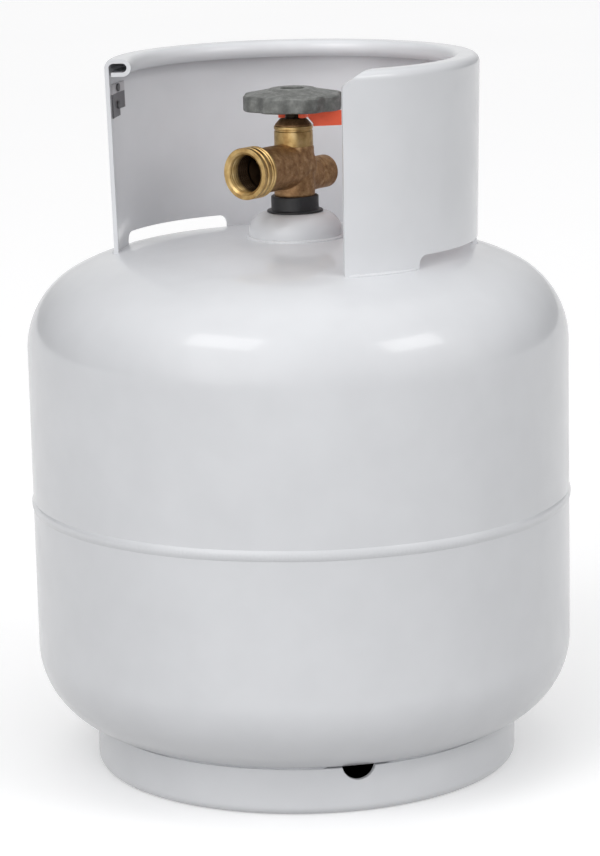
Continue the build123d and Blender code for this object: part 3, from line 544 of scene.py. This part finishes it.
# Painted light: the orange plastic glows a little, which brightens the strap and plug where the handwheel
# shades them.
ORANGE = moulded("orange_plastic", (0.88, 0.13, 0.06), 0.36, 0.10, glow=0.16)
SPINDLE = steel("blackened_steel", (0.030, 0.022, 0.016), 0.48)
RIVET = steel("dull_rivet_steel", (0.20, 0.20, 0.205), 0.55)
ZINC = steel("zinc_plated_steel", (0.50, 0.50, 0.485), 0.42)


# ---------------------------------------------------------------- vessel

def vessel_half(arcs, tangent_z, side, edge_points, inner_r=0.0):
    """Outline of one half of the vessel: outer curve, inner curve and the edge at the seam."""
    outer = [(r, tangent_z + side * h) for r, h in head_points(arcs, 0.0, inner_r)]
    inner = [(r, tangent_z + side * h) for r, h in head_points(arcs, WALL, inner_r)]
    return edge_points + outer + inner[::-1]


def build_vessel():
    """Both halves and the girth weld."""
    groove_top, groove_bottom = SEAM_Z + SEAM_HALF, SEAM_Z - SEAM_HALF
    inside = BODY_R - WALL
    upper_edge = [(inside, groove_top), (BODY_R, groove_top)]
    upper = vessel_half(TOP_ARCS, UPPER_TANGENT_Z, 1, upper_edge, NECK_HOLE_R)
    show("upper_shell_skin", lathe(upper, segments=256), PAINT, stands_for=["upper_shell"])
    lip_clearance = 0.1
    lip_r = inside - lip_clearance
    lower_edge = [
        (inside, groove_bottom), (lip_r - WALL, groove_top), (lip_r - WALL, LIP_TOP_Z),
        (lip_r, LIP_TOP_Z), (lip_r, groove_top), (BODY_R, groove_bottom)]
    lower = vessel_half(BOTTOM_ARCS, LOWER_TANGENT_Z, -1, lower_edge)
    show("lower_shell_skin", lathe(lower, segments=256), PAINT, stands_for=["lower_shell"])
    build_girth_weld()


def ripple(travel, pitch):
    """Height of weld ripples along a bead, 0 to 1, steep on one side."""
    phase = travel / pitch % 1.0
    return phase ** 0.6 * (1 - phase) ** 0.25 * 1.55


def build_girth_weld():
    """Machine-laid seam bead: low crown with fine crescent ripples."""
    columns, steps_across, pitch = 2400, 10, 2.6
    toe_r, root_r = BODY_R - 0.05, BODY_R - 1.2
    rings = []
    for i in range(columns):
        bearing = 360 * i / columns
        travel = math.radians(bearing) * BODY_R
        wander = 0.10 * math.sin(travel / 37.0) + 0.06 * math.sin(travel / 11.3 + 1.0)
        ring = []
        for j in range(steps_across + 1):
            aside = 2 * j / steps_across - 1
            crescent = ripple(travel + 0.9 * aside * aside, pitch)
            crown = SEAM_PROUD * (1 - aside * aside) * (0.86 + 0.14 * crescent)
            ring.append(on_bearing(toe_r + crown, bearing, SEAM_Z + wander + aside * SEAM_WIDTH / 2))
        ring += [on_bearing(root_r, bearing, SEAM_Z + side) for side in (SEAM_HALF, -SEAM_HALF)]
        rings.append(ring)
    bead = tube_between(rings, closed=True)
    show("girth_weld_bead", bead, PAINT, stands_for=["girth_weld"], sharp=60)


def weld_bead(section_r, radius, z, start, sweep, closed=False):
    """Hand-laid fillet bead with ripples; the ends taper."""
    fewest_columns, column_width, corners = 24, 0.4, 14
    pitch, taper_length = 2.4, 3.0
    length = math.radians(sweep) * radius
    columns = max(fewest_columns, int(length / column_width))
    rings = []
    for i in range(columns if closed else columns + 1):
        bearing = start + sweep * i / columns
        travel = math.radians(bearing - start) * radius
        end_gap = min(travel, length - travel)
        taper = 1.0 if closed else min(1.0, math.sqrt(max(end_gap, 0.02) / taper_length))
        wave = 0.05 * math.sin(travel / 9.7) + 0.04 * math.sin(travel / 4.1 + 2.0)
        size = section_r * taper * (0.90 + 0.12 * ripple(travel, pitch) + wave)
        ring = []
        for j in range(corners):
            angle = 2 * math.pi * j / corners
            ring.append(on_bearing(radius + size * math.cos(angle), bearing, z + size * math.sin(angle)))
        rings.append(ring)
    return tube_between(rings, closed)


def joined(shapes):
    """Several shapes as one list of vertices and faces."""
    verts, faces = [], []
    for more_verts, more_faces in shapes:
        shift = len(verts)
        verts += more_verts
        faces += [tuple(index + shift for index in face) for face in more_faces]
    return verts, faces


# ---------------------------------------------------------------- sheet metal with a free edge

def sheet_solid(name, grid, thickness, node, edge=0.45):
    """Closed sheet from a grid of outer points; the inner face is offset along the grid's normals."""
    outer = np.array(grid)
    closed = np.allclose(outer[:, 0], outer[:, -1], atol=1e-6)
    padded = np.concatenate([outer[:, -2:-1], outer, outer[:, 1:2]], axis=1) if closed else outer
    normal = np.cross(np.gradient(padded, axis=1), np.gradient(padded, axis=0))
    normal = normal[:, 1:-1] if closed else normal
    normal /= np.linalg.norm(normal, axis=2, keepdims=True)
    probe = (3, 3)
    if normal[probe] @ np.append(outer[probe][:2], 0.0) < 0:
        normal = -normal
    inner = outer - normal * thickness
    rows, columns = outer.shape[:2]
    verts = [tuple(p) for p in outer.reshape(-1, 3)] + [tuple(p) for p in inner.reshape(-1, 3)]
    under = rows * columns
    faces = []
    for i in range(rows - 1):
        for j in range(columns - 1):
            a, b = i * columns + j, (i + 1) * columns + j
            faces += [(a, a + 1, b + 1, b), (under + a, under + b, under + b + 1, under + a + 1)]
    last = (rows - 1) * columns
    for j in range(columns - 1):
        faces.append((j, under + j, under + j + 1, j + 1))
        faces.append((last + j, last + j + 1, under + last + j + 1, under + last + j))
    if not closed:
        for i in range(rows - 1):
            a, b = i * columns, (i + 1) * columns
            c, d = a + columns - 1, b + columns - 1
            faces += [(a, b, under + b, under + a), (c, under + c, under + d, d)]
    piece = show(name, (verts, faces), PAINT, stands_for=[node])
    bevel(piece, edge, limit=50.0)
    return piece


def collar_foot_z(bearing):
    """Height of the collar's lower edge: the dome at its feet, the slot's edge between them."""
    sunk = 0.4
    foot = dome_z(COLLAR_FOOT_R) - sunk
    for start, end in SLOT_BEARINGS:
        if start < bearing < end:
            gap = math.radians(min(bearing - start, end - bearing)) * COLLAR_FOOT_R
            if gap >= SLOT_CORNER_R:
                return SLOT_TOP_Z
            drop = SLOT_CORNER_R - math.sqrt(SLOT_CORNER_R ** 2 - (SLOT_CORNER_R - gap) ** 2)
            return SLOT_TOP_Z - drop
    return foot


def collar_columns():
    """Bearings of the collar's mesh columns, dense at the slots' corners."""
    even_columns = 213
    bearings = set(np.linspace(OPENING_HALF, 360 - OPENING_HALF, even_columns).round(4))
    corner_steps = (0.01, 0.3, 0.8, 1.5, 2.5, 4.0)
    for start, end in SLOT_BEARINGS:
        for gap in corner_steps:
            shift = math.degrees(gap / COLLAR_FOOT_R)
            bearings |= {round(start + shift, 4), round(end - shift, 4)}
        bearings |= {start, end}
    return sorted(bearings)


def mitre_start(radius, z):
    """Bearing where the trimmed right end starts, for a point of the collar's profile."""
    turn = 0.0
    settling_rounds = 12
    for _ in range(settling_rounds):
        run = MITRE_RISE * (z - MITRE_Z) + MITRE_INSET * (COLLAR_TOP_R - radius * math.cos(turn))
        turn = math.asin(max(run, 0.0) / radius)
    return OPENING_HALF + math.degrees(turn)


def build_collar():
    """C-shaped guard from one sheet, its top edge rolled inwards."""
    columns = collar_columns()
    wall_slope = (COLLAR_TOP_R - COLLAR_FOOT_R) / (RIM_Z - COLLAR_FOOT_Z)
    blend_sweep = 30.0
    wall_rows, mitred_rows = 24, 5

    def row(radius, z):
        cut_back = mitre_start(radius, z) - OPENING_HALF
        line = []
        for bearing in columns:
            into = bearing - OPENING_HALF
            if into < blend_sweep:
                bearing = OPENING_HALF + cut_back + into * (blend_sweep - cut_back) / blend_sweep
            line.append(on_bearing(radius, bearing, z))
        return line

    grid = []
    for step in range(wall_rows):
        line = []
        for bearing in columns:
            foot = collar_foot_z(bearing)
            z = foot + (MITRE_Z - foot) * step / wall_rows
            line.append(on_bearing(COLLAR_FOOT_R + wall_slope * (z - COLLAR_FOOT_Z), bearing, z))
        grid.append(line)
    for z in np.linspace(MITRE_Z, RIM_Z, mitred_rows):
        grid.append(row(COLLAR_FOOT_R + wall_slope * (z - COLLAR_FOOT_Z), z))
    outer_bend = (COLLAR_TOP_R - RIM_BEND_R, RIM_Z)
    inner_bend = (COLLAR_TOP_R - RIM_WIDTH + RIM_BEND_R, RIM_Z)
    rim = arc_points(outer_bend, RIM_BEND_R, 0.0, math.pi / 2, count=10)[1:]
    rim.append(((outer_bend[0] + inner_bend[0]) / 2, COLLAR_TOP_Z))
    rim += arc_points(inner_bend, RIM_BEND_R, math.pi / 2, 3 * math.pi / 2, count=19)
    rim += [(inner_bend[0] + (RIM_EDGE_R - inner_bend[0]) * t, RIM_Z - RIM_BEND_R) for t in (0.5, 1.0)]
    grid += [row(r, z) for r, z in rim]
    sheet_solid("collar_guard", grid, COLLAR_SHEET, "collar")


def build_collar_welds():
    """Low beads along the outside of the collar's feet."""
    bead_r, end_gap = 1.25, 1
    radius = COLLAR_FOOT_R + 0.2
    feet = [
        (OPENING_HALF, SLOT_BEARINGS[0][0]),
        (SLOT_BEARINGS[0][1], SLOT_BEARINGS[1][0]),
        (SLOT_BEARINGS[1][1], 360 - OPENING_HALF)]
    beads = [
        weld_bead(bead_r, radius, dome_z(radius), start + end_gap, end - start - 2 * end_gap)
        for start, end in feet]
    show("collar_weld_beads", joined(beads), PAINT, stands_for=["collar_welds"], sharp=60)


def build_foot_ring():
    """Foot ring from one sheet, lower edge curled inwards, notches in its upper edge."""
    even_columns, notch_columns, wall_rows = 240, 31, 14
    bearings = set(np.linspace(0, 360, even_columns + 1)[:-1].round(4))
    for middle in NOTCH_BEARINGS:
        for turn in np.linspace(-math.pi / 2, math.pi / 2, notch_columns):
            bearings.add(round(middle + math.degrees(NOTCH_R * math.sin(turn) / FOOT_R), 4))
    columns = sorted(bearings) + [360.0 + min(bearings)]
    contact = LOWER_TANGENT_Z - head_height(BOTTOM_ARCS, FOOT_R) - FOOT_ROOT_GAP
    bend_r = FOOT_R - FOOT_CURL_R
    curl = arc_points((bend_r, FOOT_CURL_R), FOOT_CURL_R, 0.0, -math.pi / 2, count=9)[1:]
    flange = [(bend_r - (bend_r - FOOT_LIP_R) * t, 0.0) for t in (0.5, 1.0)]

    def top_z(bearing):
        for middle in NOTCH_BEARINGS:
            gap = math.radians(bearing - middle) * FOOT_R
            if abs(gap) < NOTCH_R:
                return min(contact, NOTCH_Z - math.sqrt(NOTCH_R ** 2 - gap ** 2))
        return contact

    grid = []
    for row in range(wall_rows + 1):
        share = row / wall_rows
        grid.append([on_bearing(FOOT_R, b, top_z(b) + (FOOT_CURL_R - top_z(b)) * share) for b in columns])
    for r, z in curl + flange:
        grid.append([on_bearing(r, b, z) for b in columns])
    sheet_solid("foot_ring_band", grid, FOOT_SHEET, "foot_ring", edge=0.5)
    bead_r, past_notch, below = 2.3, 8, 1
    radius = FOOT_R - FOOT_SHEET
    joint_z = LOWER_TANGENT_Z - head_height(BOTTOM_ARCS, radius) - below
    sweep = 360 / len(NOTCH_BEARINGS) - 2 * past_notch
    beads = [weld_bead(bead_r, radius, joint_z, bearing + past_notch, sweep) for bearing in NOTCH_BEARINGS]
    show("foot_weld_beads", joined(beads), PAINT, stands_for=["foot_ring_welds"], sharp=60)


# ---------------------------------------------------------------- neck

def build_neck():
    """Boss, its weld and the dark ring under the valve, whose wide flange is painted shadow round its base.
    """
    top = high("neck_boss").z
    boss_r = high("neck_boss").x
    bore_r, spigot_r = 12.7, 18.9
    low_z, shoulder_z = 302.0, 309.0
    flank = arc_through((boss_r, 314.5), (23.8, 321.4), (17.4, top))
    outline = [(bore_r, low_z), (spigot_r, low_z), (spigot_r, shoulder_z), (boss_r, shoulder_z)] + flank[:-1]
    outline += soften([flank[-2], flank[-1], (bore_r, top), (bore_r, top - 2)], [0, 0.8, 0.4, 0])[1:]
    boss = lathe(outline, segments=128)
    show("neck_boss_forging", boss, PAINT, stands_for=["neck_boss"])
    radius = boss_r + 0.3
    bead = weld_bead(1.5, radius, dome_z(radius), 0, 360, closed=True)
    show("boss_weld_bead", bead, PAINT, stands_for=["boss_weld"], sharp=60)
    hole_r, ring_r, shade_flange_r = 11.35, 13.75, high("neck_seal_ring").x
    ring_top, shade_flange_top = high("neck_seal_ring").z, top + 1.2
    # The ring's black flange reaches past the ring to stand for the contact shadow round its base: painted
    # shadow.
    ring = soften(
        [(hole_r, top), (shade_flange_r, top), (shade_flange_r, shade_flange_top), (ring_r, shade_flange_top), (ring_r, ring_top),
         (hole_r, ring_top)],
        [0.1, 0.3, 0.5, 0.5, 0.9, 0.2])
    show("neck_ring", lathe(ring, segments=96), BLACK, stands_for=["neck_seal_ring"])


# ---------------------------------------------------------------- valve

def turned_level(outline, direction, z, segments=96):
    """Solid of revolution about a level axis; outline is (radius, distance along the axis)."""
    verts, faces = lathe(outline, segments)
    return place_along(verts, direction, z), faces


def build_forging():
    """Valve forging: barrel, branch and bosses grown together by a fine remesh."""
    voxel = 0.42
    barrel = soften(
        [(0, 326), (11.3, 326), (11.3, 334), (11.75, 335), (11.9, 352), (11.6, 363.5), (0, 363.5)],
        [0, 0.3, 0.2, 0.5, 3, 1.2, 0])
    branch = soften(
        [(0, -8), (11.5, -8), (12.9, 4), (12.9, 34.4), (11.5, 34.4), (11.5, 29.5), (9.7, 29.5), (3.7, 23.0),
         (0, 23.0)],
        [0, 3, 3, 0.6, 0.2, 0, 0, 0, 0])
    relief = soften([(0, 2), (10.6, 2), (9.9, 11), (9.7, 17.5), (0, 17.5)], [0, 0, 2, 0.5, 0])
    bleed = soften([(0, 4), (6.2, 4), (5.5, 16), (0, 16)], [0, 0, 0.8, 0])
    shape = joined([
        lathe(barrel, segments=96),
        turned_level(branch, FRONT, OUTLET_Z),
        turned_level(relief, BACK, RELIEF_Z),
        turned_level(bleed, LEFT, RELIEF_Z, segments=64)])
    piece = show("valve_forging", shape, FORGED, stands_for=["valve_body"])
    remesh = piece.modifiers.new("grow together", "REMESH")
    remesh.mode = "VOXEL"
    remesh.voxel_size = voxel * MM
    smooth = piece.modifiers.new("soften", "SMOOTH")
    smooth.factor = 0.5
    smooth.iterations = 9
    apply_modifiers(piece)
    piece.data.materials.clear()
    piece.data.materials.append(FORGED)
    clean(piece.data, sharp=60, weld=1e-7)


def build_outlet():
    """Machined outlet nose: rings and grooves outside, left-hand thread and seat cone inside."""
    face = OUTLET_FACE
    segments = 160
    root_r, edge, groove_slope = 12.6, 0.35, 0.2
    rings = ((36.0, 37.2), (38.2, 39.4), (40.4, 43.2), (44.4, face))
    bore_step, chamfer, run_in, flank_rise = 0.16, 1.0, 3.0, 2.6
    outside = [(root_r, 24.0), (root_r, 33.6), (GROOVE_R, 34.4)]
    for near, far in rings:
        outside += [
            (GROOVE_R, near - groove_slope), (OUTLET_R - edge, near), (OUTLET_R, near + edge),
            (OUTLET_R, far - edge), (OUTLET_R - edge, far)]
        if far < face:
            outside.append((GROOVE_R, far + groove_slope))
    mouth = [(POL_R + 1.2, face - 0.05), (POL_R + 0.55, face - 0.6)]
    steps = int(POL_DEPTH / bore_step)
    bore = [(POL_R, face - chamfer - (POL_DEPTH - chamfer) * t / steps) for t in range(steps + 1)]
    seat = [(9.5, face - POL_DEPTH), (3.5, 24.0), (3.5, 12.0), (5.0, 12.0)]
    outline = outside + mouth + bore + seat
    verts, faces = lathe(outline, segments)
    first_bore = len(outside) + len(mouth)
    moved = []
    for index, (x, y, z) in enumerate(verts):
        column, row = divmod(index, len(outline))
        if first_bore < row < first_bore + len(bore) - 1:
            phase = (z / THREAD_PITCH + column / segments) % 1.0
            crest = min(1.0, flank_rise * min(phase, 1 - phase))
            inward = THREAD_DEPTH * crest * min(1.0, (face - z) / run_in)
            scale = (POL_R - inward) / POL_R
            x, y = x * scale, y * scale
        moved.append((x, y, z))
    nose = (place_along(moved, FRONT, OUTLET_Z), faces)
    show("outlet_nose", nose, BORE_SHADED_BRASS, stands_for=["valve_body"])


def build_turret():
    """Machined turret and gland nut."""
    top = high("valve_body").z
    bore_r, turret_r, groove_r, foot_z = 8.6, 11.2, 10.8, 357.0
    turret = soften(
        [(bore_r, foot_z), (turret_r, foot_z), (turret_r, 371.6), (groove_r, 372.0), (groove_r, 372.6),
         (turret_r, 373.0), (turret_r, top), (bore_r, top)],
        [0, 0, 0.1, 0.1, 0.1, 0.1, 0.7, 0.2])
    show("valve_turret", lathe(turret, segments=128), TURNED, stands_for=["valve_body"])
    nut_top, nut_r = high("gland_nut").z, high("gland_nut").x
    hole_r, plug_r, plug_z = 4.6, 8.4, top - 1.5
    nut = soften(
        [(hole_r, plug_z), (plug_r, plug_z), (plug_r, top), (nut_r, top), (nut_r, top + 0.6),
         (7.8, nut_top - 0.4), (7.2, nut_top), (hole_r, nut_top)],
        [0, 0, 0, 0.2, 0.4, 0.6, 0.3, 0.2])
    show("gland_cap", lathe(nut, segments=96), FORGED, stands_for=["gland_nut"])


def build_relief_spring():
    """Relief spring, a copy of the CAD node with a mesh of its own."""
    piece = copied("relief_spring", "relief_coil", ZINC)
    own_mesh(piece)


# ---------------------------------------------------------------- handwheel

def build_handwheel():
    """Lobed wheel: crowned top with a shallow dish, thick lobed rim, hollow below."""
    low_z, crown_z = low("handwheel").z, high("handwheel").z
    rim_z = low_z + 9.0
    wheel_r = high("handwheel").x
    lobes, scallop_bearing, depth, sharpness = 8, 33.7, 2.7, 2.2
    hole_r, recess_r, recess_z, hub_r, hub_z, web_z = 3.3, 7.0, 391.0, 8.0, 384.7, 389.5
    columns = 320

    def rim_r(bearing):
        turn = math.radians((bearing - scallop_bearing) * lobes)
        return wheel_r - depth * (0.5 + 0.5 * math.cos(turn)) ** sharpness

    outline = soften(
        [(hole_r, recess_z), (recess_r, recess_z), (recess_r, crown_z), (12.5, crown_z),
         (15.0, crown_z - 0.9), (28.5, rim_z + 0.05), (wheel_r, rim_z - 0.9), (wheel_r, low_z),
         (23.4, low_z), (21.7, low_z + 1.2), (21.5, web_z), (hub_r + 0.1, web_z), (hub_r, hub_z),
         (hole_r, hub_z)],
        [0.1, 0.3, 0.6, 0.9, 1.6, 0.9, 1.0, 1.5, 0.8, 0.8, 1.0, 0.6, 0.3, 0.1], steps=6)
    blend_from = 20.0
    rings = []
    for i in range(columns):
        bearing = 360 * i / columns
        share = rim_r(bearing) / wheel_r
        ring = []
        for r, z in outline:
            pull = min(max((r - blend_from) / (wheel_r - blend_from), 0.0), 1.0)
            factor = 1 + (share - 1) * pull ** 0.8
            ring.append(on_bearing(r * factor, bearing, z))
        rings.append(ring)
    casting = tube_between(rings, closed=True)
    show("handwheel_casting", casting, CASTING, "wheel", ["handwheel"], sharp=40)


# ---------------------------------------------------------------- everything

build_vessel()
build_collar()
build_collar_welds()
build_foot_ring()
build_neck()
build_forging()
build_outlet()
build_turret()
build_handwheel()

refined("id_tag", "id_tag_plate", 0.25, TAG)
refined("relief_cap", "relief_nose", 0.35, FORGED)
refined("tag_rivets", "tag_rivet_pair", 0.3, RIVET)
refined("wheel_nut", "wheel_nut_hex", 0.3, ZINC, "wheel")
refined("wheel_washer", "wheel_washer_disc", 0.12, ZINC, "wheel")
refined("bleed_screw", "bleed_screw_slotted", 0.3, TURNED, "bleed")
# The strap and plug are orange plastic with a painted glow, light of their own though they are no lamps.
for node, name, edge, body in (
        ("tether_strap", "tether_moulding", 0.55, "tether"), ("pol_plug", "pol_plug_moulding", 0.4, "plug")):
    bright = refined(node, name, edge, ORANGE, body)
    bright.visible_glossy = False     # keeps its glow out of the brass
build_relief_spring()

for node, material in {
    "upper_spindle": SPINDLE, "lower_spindle": TURNED, "seat_disc": NYLON, "spindle_washer": NYLON,
    "stem_o_ring": RUBBER, "plug_o_ring": RUBBER, "relief_seal": RUBBER, "relief_poppet": TURNED,
    "bleed_seal": NYLON, "dip_tube": TURNED,
}.items():
    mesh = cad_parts[node].data
    mesh.materials.clear()
    mesh.materials.append(material)


# ---------------------------------------------------------------- floor, lights, camera

def floor_surface():
    """Pale floor with a barely visible tone change and a faint glow of its own."""
    color = (0.93, 0.93, 0.935)
    shader = Shader("pale_floor", color, 0.8)
    tone = shader.ramp(shader.noise(1.5, 2.0), [(0.3, tuple(c * 0.985 for c in color)), (0.7, color)])
    shader.bsdf.inputs["Emission Color"].default_value = (1, 1, 1, 1)
    shader.bsdf.inputs["Emission Strength"].default_value = 0.22
    return shader.to(Base_Color=tone).material


def staged(name, outline, material):
    """Flat face for the set, which isn't part of the tank."""
    mesh = bpy.data.meshes.new(name)
    mesh.from_pydata(outline, [], [tuple(range(len(outline)))])
    piece = bpy.data.objects.new(name, mesh)
    scene.collection.objects.link(piece)
    mesh.materials.append(material)
    return piece


def build_floor():
    """Large pale floor, which bounces no light of its own: the tent's lower half stands for it.

    A dark disc inside the foot ring keeps that light out of it, as the tank's own shadow would.
    """
    size = 40.0
    corners = [(-size, -size, 0), (size, -size, 0), (size, size, 0), (-size, size, 0)]
    staged("floor", corners, floor_surface()).visible_diffuse = False
    disc_r, disc_z = (FOOT_LIP_R - 0.5) * MM, 0.3 * MM
    disc = [on_bearing(disc_r, bearing, disc_z) for bearing in range(360, 0, -6)]
    staged("floor_shade", disc, Shader("shaded_floor", (0.02, 0.02, 0.02), 0.9).material)


VIEW_BEARING = 37.0
# The tent's bright patches: bearing from the camera's, elevation, sharpness and strength.
TENT = (
    (0, 90, 1, 0.45), (0, 90, 4, 0.75), (0, -90, 1, 0.45),
    (-35, 8, 10, 1.80), (0, 8, 10, 0.50), (35, 8, 10, 0.60), (70, 8, 10, 0.90), (180, 8, 10, 0.80),
    (-40, 35, 10, 0.75), (0, 35, 10, 0.20),
)


def softbox(name, bearing, elevation, distance, width, height, power):
    """Area light on a bearing counted from the camera's, aimed at the tank's middle."""
    target = Vector((0, 0, 0.24))
    angle = math.radians(elevation)
    level, rise = math.cos(angle) * distance, math.sin(angle) * distance
    offset = Vector(on_bearing(level, VIEW_BEARING + bearing, rise))
    data = bpy.data.lights.new(name, "AREA")
    data.shape = "RECTANGLE"
    data.size, data.size_y = width, height
    data.energy = power
    light = bpy.data.objects.new(name, data)
    light.location = target + offset
    light.rotation_euler = (target - light.location).to_track_quat("-Z", "Y").to_euler()
    scene.collection.objects.link(light)


def build_world():
    """Tent of soft light, the sum of a few broad patches."""
    world = bpy.data.worlds.new("tent")
    world.use_nodes = True
    scene.world = world
    tree = world.node_tree
    direction = tree.nodes.new("ShaderNodeTexCoord").outputs["Generated"]

    def math_node(kind, first, second):
        node = tree.nodes.new("ShaderNodeMath")
        node.operation = kind
        for socket, value in zip(node.inputs, (first, second)):
            if isinstance(value, bpy.types.NodeSocket):
                tree.links.new(value, socket)
            else:
                socket.default_value = value
        return node.outputs[0]

    strength = 0.0
    for bearing, elevation, sharpness, weight in TENT:
        angle = math.radians(elevation)
        toward = tree.nodes.new("ShaderNodeVectorMath")
        toward.operation = "DOT_PRODUCT"
        toward.inputs[1].default_value = on_bearing(math.cos(angle), VIEW_BEARING + bearing, math.sin(angle))
        tree.links.new(direction, toward.inputs[0])
        patch = math_node("POWER", math_node("MAXIMUM", toward.outputs["Value"], 0.0), sharpness)
        strength = math_node("ADD", strength, math_node("MULTIPLY", patch, weight))
    background = tree.nodes["Background"]
    background.inputs["Color"].default_value = (1.0, 1.0, 1.0, 1)
    tree.links.new(strength, background.inputs["Strength"])


def build_lights():
    """The tent, and two dim softboxes for the soft highlights on the shoulder."""
    softbox("key_left", -40, 49, 2.4, 1.10, 0.62, 7.8)
    softbox("key_right", 55, 37, 2.4, 1.00, 0.58, 7.4)
    build_world()


def build_camera():
    """Camera at eye level over the tank, turned to show the outlet and the collar's opening."""
    distance, height = 1.83405, 0.58953
    pitch, roll = 0.2111, 0.02235
    data = bpy.data.cameras.new("view")
    data.sensor_width = 36.0
    data.lens = 134.34
    camera = bpy.data.objects.new("view", data)
    camera.location = on_bearing(distance, VIEW_BEARING, height)
    turn = Matrix.Rotation(math.radians(VIEW_BEARING), 4, "Z") @ Matrix.Rotation(math.pi / 2 - pitch, 4, "X")
    camera.rotation_euler = (turn @ Matrix.Rotation(-roll, 4, "Z")).to_euler()
    scene.collection.objects.link(camera)
    scene.camera = camera


build_floor()
build_lights()
build_camera()
scene.view_settings.view_transform = "Standard"
